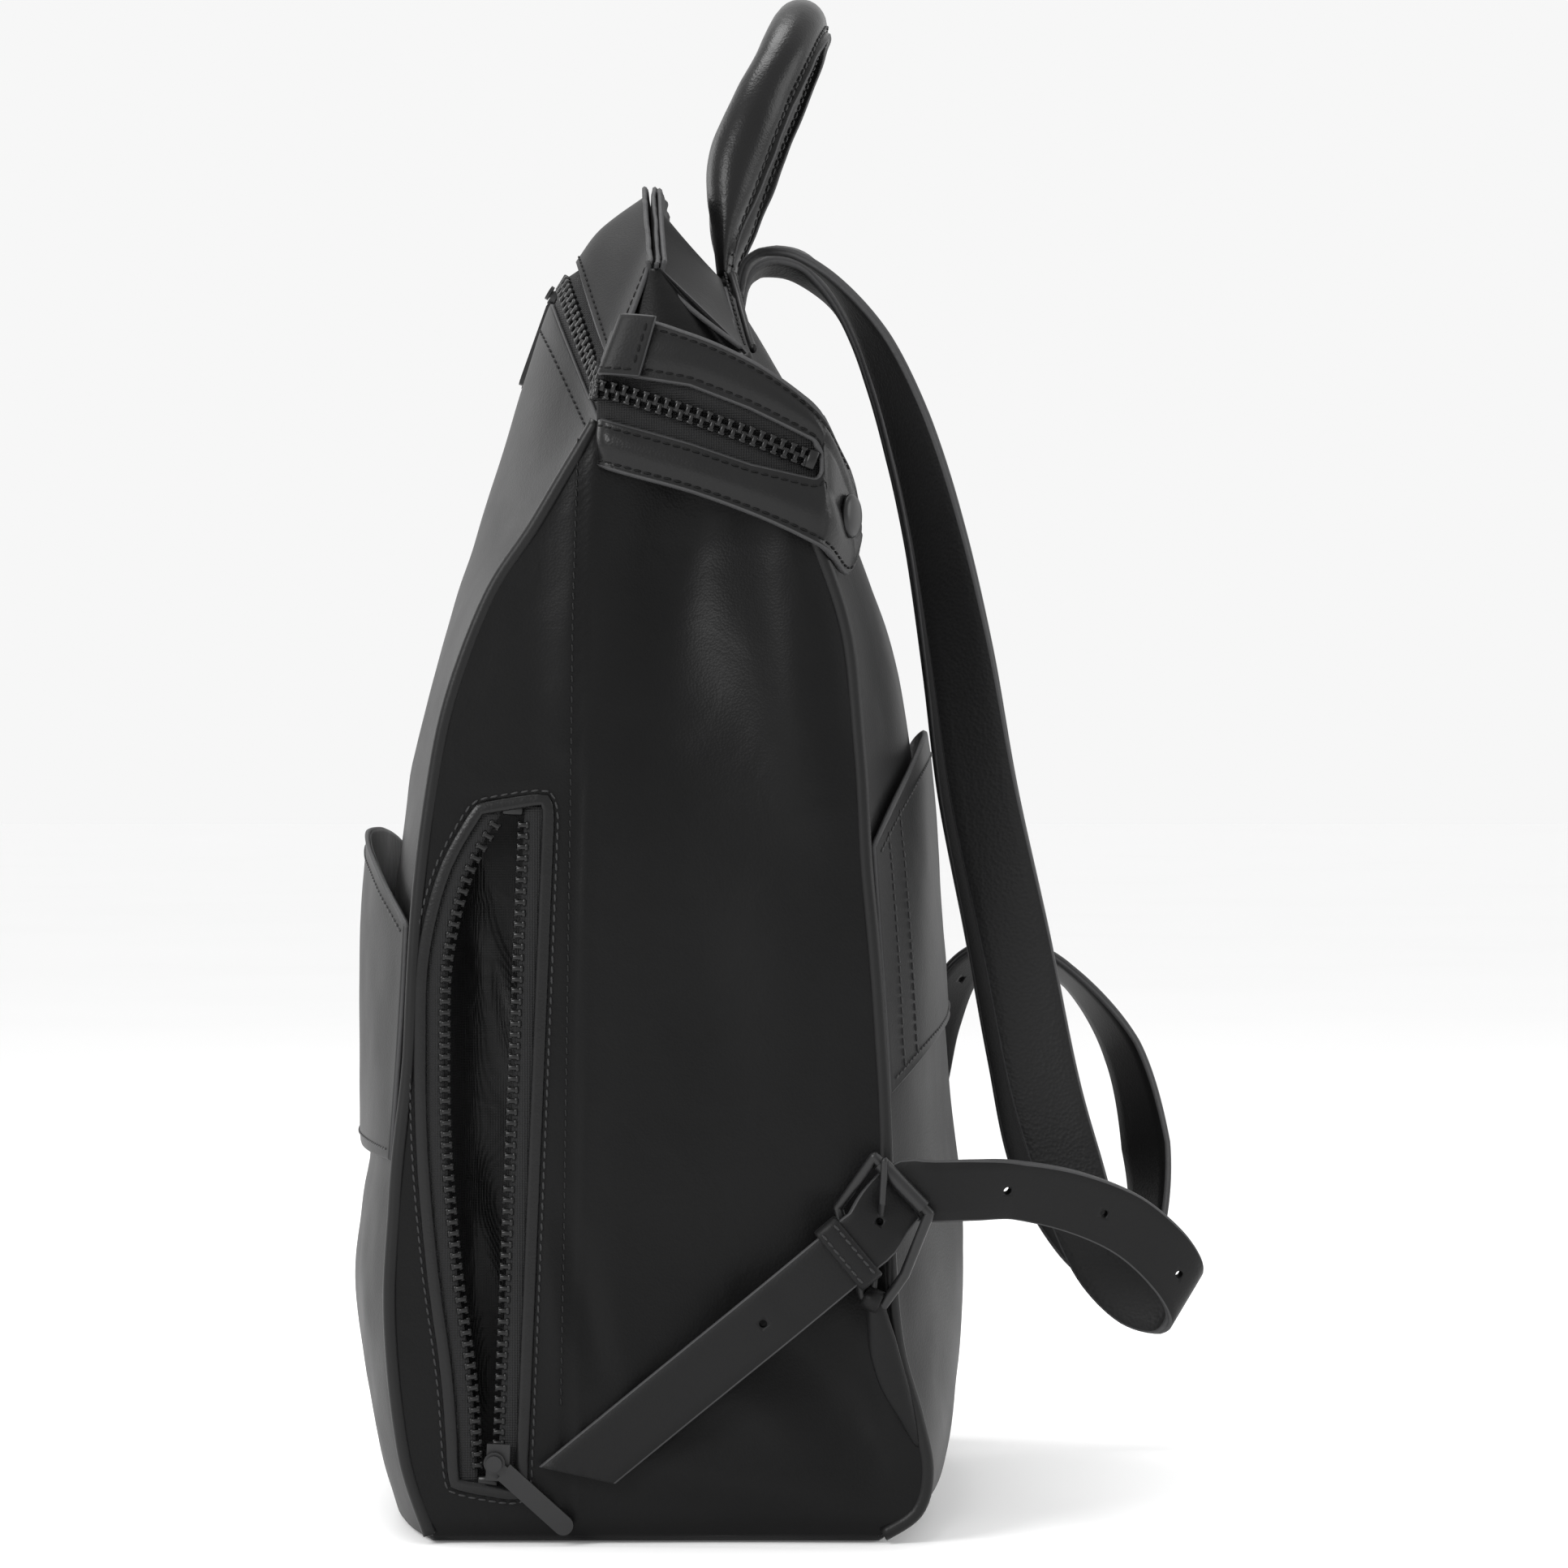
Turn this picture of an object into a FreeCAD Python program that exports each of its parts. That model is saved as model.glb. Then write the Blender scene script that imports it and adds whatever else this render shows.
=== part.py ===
"""Soft leather backpack with a zipped top mouth, folded side wings and buckled straps.

Frame: X is the width, +Y points to the carrying side, -Y to the front, +Z up.
The origin is the centre of the base's underside. All sizes are in millimetres.
"""
import FreeCAD, Part
import math
import os

V = FreeCAD.Vector
os.makedirs("parts", exist_ok=True)

# Driving dimensions
HALF_WIDTH = 136.0        # front and back panels, to their side seams
GUSSET_X = 138.5          # outer face of each side gusset
LEATHER = 1.6             # one lined thickness of leather
CLEAR = 0.4               # gap between pieces that move on each other
FLAT_SHARE = 0.51         # middle share of the width where the mouth runs straight
PIPING_R = 2.2
FOAM = 5.0                # padding behind the back panel
FOAM_GAP = 3.4
STATION_STEP = 8.0        # spacing of the sections along a strap
TOOTH_PITCH = 3.3
TOOTH = (1.5, 2.6, 2.6)   # along the chain, across it, through it
TAPE = 0.8                # zip tape thickness
SLIDER_LENGTH = 11.0
PULLER = (28.0, 6.0, 1.6)  # length, width, thickness
STRAP_THICK = 3.0
STRAP_WIDE = 22.0         # shoulder part
STRAP_NARROW = 18.5       # holed lower part
HANDLE_R = 8.5            # rolled grip
HANDLE_LEG_X = 48.0
SNAP_R = 6.7              # press stud cap
BUCKLE_WIRE_R = 1.6
FRACTIONS = (0.0, 0.26, 0.51, 0.66, 0.8, 0.91, 1.0)

# Side profiles as (y, z): the side seam and the middle of each panel, from the base up
FRONT_ROWS = [
    ((-74.5, 1.9), (-91.0, 1.9)), ((-82.0, 26.0), (-98.0, 26.0)), ((-86.2, 65.0), (-104.6, 68.0)),
    ((-85.0, 102.0), (-101.8, 100.0)), ((-80.7, 146.0), (-96.0, 150.0)), ((-77.8, 195.0), (-91.0, 198.0)),
    ((-70.5, 245.0), (-82.3, 245.0)), ((-57.5, 283.0), (-71.5, 288.0)), ((-42.0, 307.0), (-60.0, 322.0)),
    ((-24.5, 337.0), (-41.0, 378.0))]
BACK_ROWS = [
    ((62.0, 1.9), (71.0, 1.9)), ((72.2, 9.5), (79.6, 9.0)), ((75.2, 22.0), (83.6, 21.0)),
    ((72.0, 38.0), (87.0, 40.0)),
    ((66.0, 60.0), (89.4, 62.0)), ((63.3, 92.0), (89.0, 94.0)), ((62.4, 125.0), (85.4, 126.0)),
    ((60.0, 165.0), (81.5, 165.0)), ((57.0, 200.0), (77.0, 202.0)), ((54.6, 238.0), (71.3, 242.0)),
    ((51.0, 272.0), (64.8, 274.0)), ((42.8, 298.0), (54.0, 306.0)), ((31.0, 327.0), (36.5, 345.0)),
    ((20.0, 357.0), (14.0, 383.5))]
POCKET_ROWS = [
    ((-86.4, 115.0), (-101.9, 116.0)), ((-84.6, 140.0), (-102.4, 148.0)),
    ((-83.0, 163.0), (-101.8, 182.0)), ((-81.9, 185.0), (-100.6, 214.0))]
SLEEVE_ROWS = [
    ((63.8, 135.0), (84.8, 155.0)), ((62.4, 160.0), (83.4, 178.0)),
    ((60.6, 185.0), (81.3, 206.0)), ((59.0, 209.0), (77.4, 245.0))]
YOKE_ROWS = [((-7.0, 383.0), (-7.6, 409.0)), ((6.0, 371.0), (2.5, 397.0)), ((19.5, 360.5), (12.2, 386.2))]
LID_ROWS = [((-21.0, 355.0), (-33.0, 391.0)), ((-15.5, 369.0), (-25.0, 402.0)),
            ((-11.0, 384.0), (-13.0, 411.2))]
LID_HALF = (134.0, 128.5, 122.0)
YOKE_HALF = (122.0, 126.0, 130.0)


def save(node, shape):
    if not shape.isValid():
        print("NOT VALID", node)
    shape.exportStep("parts/%s.step" % node)
    print("%-28s %9.1f mm3 %3d solids" % (node, shape.Volume, len(shape.Solids)))


def mirrored(shape):
    return shape.mirror(V(0, 0, 0), V(1, 0, 0))


def save_pair(stem, shape):
    """Save a +X piece and its mirror image at -X."""
    save(stem + "_right", shape)
    save(stem + "_left", mirrored(shape))


def value_at(profile, z):
    """Read y off a list of (y, z) points by straight interpolation."""
    for (y0, z0), (y1, z1) in zip(profile, profile[1:]):
        if z <= z1:
            return y0 + (y1 - y0) * (z - z0) / (z1 - z0)
    return profile[-1][0]


def bulge(fraction):
    return 1.0 - abs(fraction) ** 3


def arch(fraction):
    """1 over the straight middle, then easing to 0 at the side seam."""
    if abs(fraction) <= FLAT_SHARE:
        return 1.0
    return math.cos(math.pi / 2 * (abs(fraction) - FLAT_SHARE) / (1 - FLAT_SHARE)) ** 2


def across(edge, middle, arch_share, half=HALF_WIDTH):
    """Points across the bag from -X to +X between a side point and a middle point."""
    points = []
    for f in [-f for f in reversed(FRACTIONS[1:])] + list(FRACTIONS):
        share = (1 - arch_share) * bulge(f) + arch_share * arch(f)
        y = edge[0] + (middle[0] - edge[0]) * share
        z = edge[1] + (middle[1] - edge[1]) * share
        points.append(V(f * half, y, z))
    return points


def spline(points):
    if len(points) == 2:
        return Part.makeLine(points[0], points[1])
    curve = Part.BSplineCurve()
    curve.interpolate(points)
    return curve.toShape()


def panel(rows, inward):
    """Sheet of leather through rows of points, thickened along inward."""
    if len(rows) == 2:
        skin = Part.makeRuledSurface(spline(rows[0]), spline(rows[1]))
    else:
        surface = Part.BSplineSurface()
        surface.interpolate(rows)
        skin = surface.toShape()
    return skin.extrude(inward)


def arch_shares(rows, low):
    """0 below the height low, growing to 1 at the top row."""
    top = rows[-1][0][1]
    return [max(0.0, (edge[1] - low) / (top - low)) for edge, _ in rows]


def tube(points, radii, side):
    """Round or oval tube through points; radii are (across, through) at each point."""
    wires = []
    for i, p in enumerate(points):
        ahead = points[min(i + 1, len(points) - 1)] - points[max(i - 1, 0)]
        ahead.normalize()
        through = (side - ahead * side.dot(ahead)).normalize()
        sideways = ahead.cross(through)
        ring = []
        for k in range(10):
            a = 2 * math.pi * k / 10
            ring.append(p + sideways * (radii[i][0] * math.cos(a)) + through * (radii[i][1] * math.sin(a)))
        wires.append(Part.makePolygon(ring + [ring[0]]))
    return Part.makeLoft(wires, True, True)


def strap(stations, thick):
    """Flat strap on a smooth line through stations of (centre, width direction, width)."""
    lengths = [0.0]
    for (a, _, _), (b, _, _) in zip(stations, stations[1:]):
        lengths.append(lengths[-1] + (b - a).Length)
    line = Part.BSplineCurve()
    line.interpolate(Points=[centre for centre, _, _ in stations], Parameters=lengths)
    edges = [V(*wide).normalize() * width for _, wide, width in stations]
    count = max(2, round(lengths[-1] / STATION_STEP))
    wires = []
    for i in range(count + 1):
        at = lengths[-1] * i / count
        span = max(k for k in range(len(stations) - 1) if lengths[k] <= at)
        share = (at - lengths[span]) / (lengths[span + 1] - lengths[span])
        wide = edges[span] * (1 - share) + edges[span + 1] * share
        ahead = line.tangent(at)[0]
        width = edges[span].Length * (1 - share) + edges[span + 1].Length * share
        wide = (wide - ahead * wide.dot(ahead)).normalize()
        normal = ahead.cross(wide)
        corners = [line.value(at) + wide * (a * width / 2) + normal * (b * thick / 2)
                   for a, b in ((-1, -1), (1, -1), (1, 1), (-1, 1))]
        wires.append(Part.makePolygon(corners + [corners[0]]))
    return Part.makeLoft(wires, True, True)


def block(centre, axes, size):
    """Box centred on a point, with its sides along three given directions."""
    m = FreeCAD.Matrix(axes[0].x, axes[1].x, axes[2].x, centre.x,
                       axes[0].y, axes[1].y, axes[2].y, centre.y,
                       axes[0].z, axes[1].z, axes[2].z, centre.z, 0, 0, 0, 1)
    box = Part.makeBox(*size, V(-size[0] / 2, -size[1] / 2, -size[2] / 2))
    box.Placement = FreeCAD.Placement(m)
    return box


def plate(outline, x0, x1):
    """Flat plate in the side view, from an outline of (y, z) points, between two X values."""
    points = [V(x0, y, z) for y, z in outline]
    return Part.Face(Part.makePolygon(points + [points[0]])).extrude(V(x1 - x0, 0, 0))


def rod(start, end, radius):
    direction = end - start
    return Part.makeCylinder(radius, direction.Length, start, direction)


# ---------------------------------------------------------------- bag shell
def shell_panels():
    shares = arch_shares(FRONT_ROWS, 200.0)
    save("front_panel", panel([across(e, m, s) for (e, m), s in zip(FRONT_ROWS, shares)], V(0, LEATHER, 0)))
    shares = arch_shares(BACK_ROWS, 200.0)
    rows = [across(e, m, s) for (e, m), s in zip(BACK_ROWS, shares)]
    save("back_panel", panel(rows, V(0, -LEATHER, 0)))
    foam = [[V(p.x * 0.8, p.y - LEATHER - FOAM_GAP, p.z) for p in row] for row in rows[2:11]]
    save("back_foam", panel(foam, V(0, -FOAM, 0)))
    save("front_pocket", panel([across(e, m, 0) for e, m in POCKET_ROWS], V(0, LEATHER, 0)))
    save("luggage_sleeve", panel([across(e, m, 0) for e, m in SLEEVE_ROWS], V(0, -LEATHER, 0)))


def base_pieces():
    front = across(FRONT_ROWS[0][0], FRONT_ROWS[0][1], 0)
    back = across(BACK_ROWS[0][0], BACK_ROWS[0][1], 0)
    front = [V(p.x, p.y, 0) for p in front]
    back = [V(p.x, p.y, 0) for p in back[::-1]]
    outline = Part.Wire([spline(front), Part.makeLine(front[-1], back[0]),
                         spline(back), Part.makeLine(back[-1], front[0])])
    save("base_panel", Part.Face(outline).extrude(V(0, 0, LEATHER)))
    save("base_board", Part.makeBox(256, 124, 2.2, V(-128, -68, LEATHER)))


GUSSET_LEVELS = (1.9, 9.5, 28, 60, 95, 130, 165, 200, 235, 265, 295, 318, 337)


def gusset_hollow(share, z):
    """How far the gusset is drawn in, at a share of its depth from front to back."""
    upper = 9.0 * max(0.0, min(1.0, (z - 190) / 110.0))
    lower = 7.0 * math.exp(-((z - 62) / 45.0) ** 2) * max(0.0, share - 0.45) * 2
    along = min(1.0, max(0.0, (share - 0.22) / 0.78))
    return upper * math.sin(math.pi * along) ** 2 + lower * (1 - share) * 3


def gusset():
    front = [edge for edge, _ in FRONT_ROWS]
    back = [edge for edge, _ in BACK_ROWS]
    rows = []
    for z in GUSSET_LEVELS:
        y0 = value_at(front, z) + 1.0
        y1 = value_at(back, z) - 1.0
        shares = [k / 8.0 for k in range(9)]
        rows.append([V(GUSSET_X - gusset_hollow(s, z), y0 + (y1 - y0) * s, z) for s in shares])
    return panel(rows, V(-LEATHER, 0, 0))


def piping(rows):
    spots = [V(HALF_WIDTH + 1.4, edge[0], max(edge[1], PIPING_R + 0.2)) for edge, _ in rows]
    cord = tube(spots, [(PIPING_R, PIPING_R)] * len(spots), V(1, 0, 0))
    return Part.Compound([cord, mirrored(cord)])


def lining():
    """Fabric bag inside the shell, open at the top."""
    front = [edge for edge, _ in FRONT_ROWS]
    back = [edge for edge, _ in BACK_ROWS]
    solids = []
    for skin, lift in ((0.0, 0.0), (0.8, 0.8)):
        wires = []
        for z in (5.0 + lift, 60, 120, 180, 240, 285, 325 + 2 * lift):
            x = 114.0 - skin
            y0 = value_at(front, z) + 6 + skin
            y1 = value_at(back, z) - 11.5 - skin
            wires.append(Part.makePolygon([V(-x, y0, z), V(x, y0, z), V(x, y1, z), V(-x, y1, z),
                                           V(-x, y0, z)]))
        solids.append(Part.makeLoft(wires, True, True))
    return solids[0].cut(solids[1])


# ---------------------------------------------------------------- top
def top_pieces():
    yoke = [across(e, m, 1, h) for (e, m), h in zip(YOKE_ROWS, YOKE_HALF)]
    save("back_yoke", panel(yoke, V(0, -0.77, -0.64) * LEATHER))
    lid = [across(e, m, 1, h) for (e, m), h in zip(LID_ROWS, LID_HALF)]
    save("lid_flap", panel(lid, V(0, 0.67, -0.74) * LEATHER))
    foot = across((-8.9, 382.5), (-11.2, 406.5), 1, 121.0)
    crest = across((-8.9, 386.0), (-11.2, 414.0), 1, 121.0)
    save("ridge_edge", panel([foot, crest], V(0, 2.8, 0)))
    seam = across((21.6, 358.5), (14.6, 385.6), 1, 126.0)
    save("yoke_seam", panel([seam, [p + V(0, 1.2, 2.2) for p in seam]], V(0, 2.0, -1.2)))
    gore = plate([(-15.6, 350), (-12.6, 368), (-6.0, 378), (15.5, 359.5), (17.5, 350)], 127.6, 128.8)
    save("gores", Part.Compound([gore, mirrored(gore)]))


# ---------------------------------------------------------------- zips
def mouth_frames(step):
    """Points along the mouth's zip with (centre, up the chain's plane, outward)."""
    frames = []
    count = int(2 * 126 / step)
    for i in range(count + 1):
        x = -126.0 + i * 252.0 / count
        share = arch(x / HALF_WIDTH)
        front = V(x, -24.5 - 16.5 * share, 337 + 41 * share)
        lid = V(x, -21.0 - 12.0 * share, 355 + 36 * share)
        up = (lid - front).normalize()
        frames.append((front, lid, (front + lid) * 0.5, up, V(0, -up.z, up.y)))
    return frames


def mouth_zip():
    coarse = mouth_frames(21.0)
    skin = V(0, 0.8, -0.5) * TAPE
    lower = [f - up * 2 - out * 2.2 for f, _, c, up, out in coarse]
    middle = [c - up * 1.9 + out * 0.4 for _, _, c, up, out in coarse]
    save("mouth_tape_front", panel([lower, middle], skin))
    middle = [c + up * 1.5 + out * 0.4 for _, _, c, up, out in coarse]
    upper = [l - up * 1.0 - out * 2.2 for _, l, c, up, out in coarse]
    save("mouth_tape_lid", panel([middle, upper], skin))
    for node, shift in (("mouth_teeth_front", -2.7), ("mouth_teeth_lid", 2.8)):
        teeth = []
        for i, (_, _, c, up, out) in enumerate(mouth_frames(TOOTH_PITCH)):
            teeth.append(block(c + up * shift, (V(1, 0, 0), up, out), TOOTH))
        save(node, Part.Compound(teeth))


def slider(centre, along, up, out):
    """Channel-shaped slider: two plates and a web, open on the -up side, with a puller post."""
    axes = (along, up, out)
    top = block(centre - up * 2.5 + out * 2.5, axes, (SLIDER_LENGTH, 7.0, 1.5))
    web = block(centre, axes, (SLIDER_LENGTH, 2.0, 6.5))
    bottom = block(centre - up * 2.5 - out * 2.5, axes, (SLIDER_LENGTH, 7.0, 1.5))
    post = Part.makeCylinder(1.3, 3.6, centre - up * 1.5 + out * 3.0, out)
    head = Part.makeCylinder(2.4, 1.0, centre - up * 1.5 + out * 6.6, out)
    return top.fuse([web, bottom, post, head]).removeSplitter()


def puller(pivot, direction, out, bend=0.0):
    """Flat bar puller with a round eye on the slider's post; bend turns the bar inwards, in degrees."""
    length, width, thick = PULLER
    turn = math.radians(bend)
    along = direction * math.cos(turn) - out * math.sin(turn)
    normal = direction * math.sin(turn) + out * math.cos(turn)
    across_bar = out.cross(direction)
    base = pivot + out * 0.9
    root = base + direction * 3.8
    eye = Part.makeCylinder(3.2, thick, base, out)
    bar = block(root + along * ((length - 4) / 2) + normal * (thick / 2), (along, across_bar, normal),
                (length - 4, width, thick))
    tip = Part.makeCylinder(width / 2, thick, root + along * (length - 4), normal)
    hole = Part.makeCylinder(1.6, thick * 3, base - out * thick, out)
    neck = block(base + direction * 2 + out * (thick / 2), (direction, across_bar, out), (4, 3.4, thick))
    return eye.fuse([bar, tip, neck]).cut(hole).removeSplitter()


MOUTH_SLIDER_X = 9.0


def mouth_sliders():
    share = arch(0)
    front = V(0, -24.5 - 16.5 * share, 337 + 41 * share)
    lid = V(0, -21.0 - 12.0 * share, 355 + 36 * share)
    up = (lid - front).normalize()
    out = V(0, -up.z, up.y)
    centre = (front + lid) * 0.5 + V(MOUTH_SLIDER_X, 0, 0)
    save_pair("mouth_slider", slider(centre, V(1, 0, 0), up, out))
    pivot = centre - up * 1.5 + out * 3.25
    save_pair("mouth_puller", puller(pivot, up * -1, out, bend=12.0))


# Side pocket zip on the +X gusset: two rows of (y, z), the rear one straight
REAR_ROW = ((-55.5, 20.0), (-47.5, 219.0))
FRONT_ROW = ((-58.5, 20.0), (-60.5, 49.0), (-65.0, 83.0), (-68.0, 118.0), (-68.6, 150.0),
             (-67.6, 176.0), (-61.5, 201.0), (-51.6, 219.0))
WELT_X = GUSSET_X + CLEAR
SIDE_CHAIN_X = GUSSET_X - 1.0
SIDE_SLIDER_Z = 24.5
SIDE_PULLER_LEAN = -42.0


def rear_y(z):
    return value_at(REAR_ROW, z)


def front_y(z):
    return value_at(FRONT_ROW, z)


def side_slot():
    """Outline of the cut in the gusset."""
    levels = (16.0, 49.0, 83.0, 118.0, 150.0, 176.0, 201.0, 222.5)
    front = [(value_at(FRONT_ROW, max(z, 20.0)) - 7.4, z) for z in levels]
    rear = [(rear_y(z) + 7.4, z) for z in (222.5, 16.0)]
    return front + rear


def side_zip_pieces():
    slot = side_slot()
    centre = (-57.0, 118.0)
    outer = [(y + (3.4 if y > centre[0] else -3.4), z + (3.4 if z > centre[1] else -3.4)) for y, z in slot]
    ring = plate(outer, WELT_X - CLEAR, WELT_X + 1.1).cut(plate(slot, WELT_X - 2, WELT_X + 3))
    save("side_zip_welt", ring)
    tapes = []
    x0, x1 = SIDE_CHAIN_X - TAPE / 2, SIDE_CHAIN_X + TAPE / 2
    tapes.append(plate([(rear_y(18) + 1.6, 18), (rear_y(221) + 1.6, 221), (rear_y(221) + 7.2, 221),
                        (rear_y(18) + 7.2, 18)], x0, x1))
    levels = [z for _, z in FRONT_ROW]
    near_edge = [(front_y(z) - 1.6, z) for z in levels]
    far_edge = [(front_y(z) - 7.2, z) for z in levels[::-1]]
    tapes.append(plate(near_edge + far_edge, x0, x1))
    save("side_zip_tapes", Part.Compound(tapes))
    teeth = []
    span = REAR_ROW[1][1] - REAR_ROW[0][1]
    count = int(span / TOOTH_PITCH)
    for i in range(1, count):
        z = REAR_ROW[0][1] + i * span / count
        rear = V(SIDE_CHAIN_X, rear_y(z) + 1.6, z)
        teeth.append(block(rear, (V(0, 0, 1), V(0, 1, 0), V(-1, 0, 0)), TOOTH))
        lean = V(0, front_y(z + 1) - front_y(z - 1), 2).normalize()
        front = V(SIDE_CHAIN_X, front_y(z) - 1.6, z)
        teeth.append(block(front, (lean, V(-1, 0, 0).cross(lean), V(-1, 0, 0)), TOOTH))
    save("side_zip_teeth", Part.Compound(teeth))
    bottom = [(-61.5, 12.8), (-51.5, 12.8), (-51.5, 15.2), (-61.5, 15.2)]
    top = [(-55.5, 223.2), (-45.0, 223.2), (-45.0, 225.4), (-55.5, 225.4)]
    save("side_zip_stops", Part.Compound([plate(bar, WELT_X + 1.2, WELT_X + 2.6) for bar in (bottom, top)]))


def side_slider_pieces():
    along = V(0, REAR_ROW[1][0] - REAR_ROW[0][0], REAR_ROW[1][1] - REAR_ROW[0][1]).normalize()
    out = V(1, 0, 0)
    centre = V(SIDE_CHAIN_X, rear_y(SIDE_SLIDER_Z) - 1.0, SIDE_SLIDER_Z)
    save("side_slider", slider(centre, along, out.cross(along), out))
    pivot = centre + V(3.25, 1.5, 0)
    lean = math.radians(SIDE_PULLER_LEAN)
    save("side_puller", puller(pivot, V(0, math.cos(lean), math.sin(lean)), out))


def side_pocket_bag():
    """Flat fabric pouch behind the side zip, open towards the gusset."""
    outer = Part.makeBox(20.0, 52.0, 232.0, V(GUSSET_X - LEATHER - 22.0, -74.5 + 4, 9.0))
    inner = Part.makeBox(20.0, 50.4, 230.4, V(GUSSET_X - LEATHER - 21.2, -74.5 + 4.8, 9.8))
    return outer.cut(inner)


# ---------------------------------------------------------------- wings
WING = [  # (x, y, top z, bottom z) from the front corner round to the back
    (142.4, -24.0, 354.0, 324.0), (144.2, -14.0, 366.0, 321.0), (145.6, 4.0, 362.0, 316.0),
    (146.0, 22.0, 354.0, 309.5), (145.2, 35.5, 345.0, 303.5), (142.2, 44.4, 336.5, 298.5),
    (127.5, 50.8, 326.0, 292.0), (115.0, 55.4, 317.5, 295.0)]
WING_CHAIN = [(-22.0, 346.6), (4.0, 338.6), (22.0, 332.2), (42.0, 324.4)]
WING_THICK = 2.2
CAP = V(127.5, 50.8, 309.0)
CAP_OUT = V(0.38, 0.925, 0).normalize()


def wing_x(y):
    return value_at([(x, wy) for x, wy, _, _ in WING], y)


def chain_z(y):
    return value_at([(z, cy) for cy, z in WING_CHAIN], y)


def wing_pieces():
    top = [V(x, y, zt) for x, y, zt, _ in WING]
    bottom = [V(x, y, zb) for x, y, _, zb in WING]
    middle = [(a + b) * 0.5 + V(0.6, 0.3, 0) for a, b in zip(top, bottom)]
    sheet = panel([top, middle, bottom], V(-WING_THICK * 0.75, -WING_THICK * 0.65, 0))
    upper = [(-30.0, 353.0), (4.0, 347.6), (22.0, 340.6), (41.0, 331.5)]
    lower = [(44.0, 327.5), (43.0, 318.5), (22.0, 323.2), (4.0, 329.4), (-30.0, 339.0)]
    slot = plate(upper + lower, 100.0, 170.0)
    save_pair("wing", sheet.cut(slot))
    edge_a = [V(wing_x(y) - 1.9, y, chain_z(y) + 9.0) for y in (-21, -8, 6, 20, 32, 42)]
    edge_b = [V(p.x, p.y, p.z - 18.0) for p in edge_a]
    save_pair("wing_tape", panel([edge_a, edge_b], V(-TAPE, 0, 0)))
    teeth = []
    count = 19
    for i in range(count):
        y = -20.5 + 61.0 * i / (count - 1)
        along = V(wing_x(y + 2) - wing_x(y - 2), 4, chain_z(y + 2) - chain_z(y - 2)).normalize()
        out = along.cross(V(0, 0, 1)).normalize()
        up = out.cross(along)
        for side in (1, -1):
            shift = along * (TOOTH_PITCH / 2 if side > 0 else 0)
            at = V(wing_x(y) - 1.0, y, chain_z(y)) + up * (1.2 * side) + shift
            teeth.append(block(at, (along, up, out), (TOOTH[0] * 0.85, TOOTH[1], 2.0)))
    save_pair("wing_teeth", Part.Compound(teeth))
    cap = Part.makeCylinder(SNAP_R, 1.5, CAP + CAP_OUT * 1.3, CAP_OUT)
    save_pair("snap_cap", cap)
    low = CAP - CAP_OUT * 4.4
    socket = Part.makeCylinder(6.0, 2.2, low, CAP_OUT)
    dish = Part.makeCone(5.0, 2.2, 1.6, low - CAP_OUT * 0.01, CAP_OUT)
    save_pair("snap_socket", socket.cut(dish))
    boss = Part.makeCone(4.4, 1.9, 1.35, low - CAP_OUT * 0.42, CAP_OUT)
    post = Part.makeCylinder(5.4, 3.4, low - CAP_OUT * 3.82, CAP_OUT)
    save_pair("snap_stud", post.fuse(boss).removeSplitter())


# ---------------------------------------------------------------- handle
HANDLE_PATH = [  # (x, y, z, half width, half thickness) up the +X leg to the crown
    (HANDLE_LEG_X, 13.0, 392.0, 11.0, 2.4), (HANDLE_LEG_X + 0.5, 13.4, 402.0, 11.0, 4.2),
    (HANDLE_LEG_X + 0.5, 14.4, 413.0, 10.5, 7.6), (HANDLE_LEG_X - 0.5, 17.0, 426.0, 9.4, 9.2),
    (HANDLE_LEG_X - 4.0, 23.5, 442.0, HANDLE_R, 8.7),
    (HANDLE_LEG_X - 14.0, 31.0, 459.0, HANDLE_R, HANDLE_R),
    (HANDLE_LEG_X - 29.0, 35.8, 470.5, HANDLE_R, HANDLE_R), (0.0, 37.6, 474.6, HANDLE_R, HANDLE_R)]


def handle_pieces():
    spots = HANDLE_PATH + [(-x, y, z, a, b) for x, y, z, a, b in HANDLE_PATH[-2::-1]]
    points = [V(x, y, z) for x, y, z, _, _ in spots]
    lean = V(0, 0.93, -0.36)
    grip = tube(points, [(a, b) for _, _, _, a, b in spots], lean)
    core = tube(points[3:-3], [(5.0, 5.0)] * (len(points) - 6), lean)
    save("handle_grip", grip.cut(core))
    save("handle_core", core)


# ---------------------------------------------------------------- straps
# (centre, width direction, width) from the top seam round the loop to the buckle
STRAP_DOWN = [
    (V(25, 19.0, 392.5), (1, 0, 0), STRAP_WIDE), (V(25.5, 22.0, 396.8), (1, 0, -0.05), STRAP_WIDE),
    (V(27, 28.0, 398.8), (1, 0, -0.12), STRAP_WIDE), (V(31, 38.0, 396.0), (1, 0.05, -0.15), STRAP_WIDE),
    (V(36, 50.0, 385.0), (1, 0.20, -0.15), STRAP_WIDE), (V(42, 62.0, 366.0), (1, 0.45, -0.1), STRAP_WIDE),
    (V(48, 72.0, 340.0), (0.9, 0.62, 0), STRAP_WIDE), (V(55, 80.5, 308.0), (0.8, 0.75, 0), STRAP_WIDE),
    (V(63, 88.0, 268.0), (0.55, 0.85, 0), STRAP_WIDE), (V(72, 94.5, 225.0), (0.35, 0.95, 0), STRAP_WIDE),
    (V(82, 104.0, 179.0), (0.2, 1, 0), STRAP_WIDE), (V(92, 112.0, 137.0), (0.1, 1, 0.1), STRAP_WIDE)]
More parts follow.
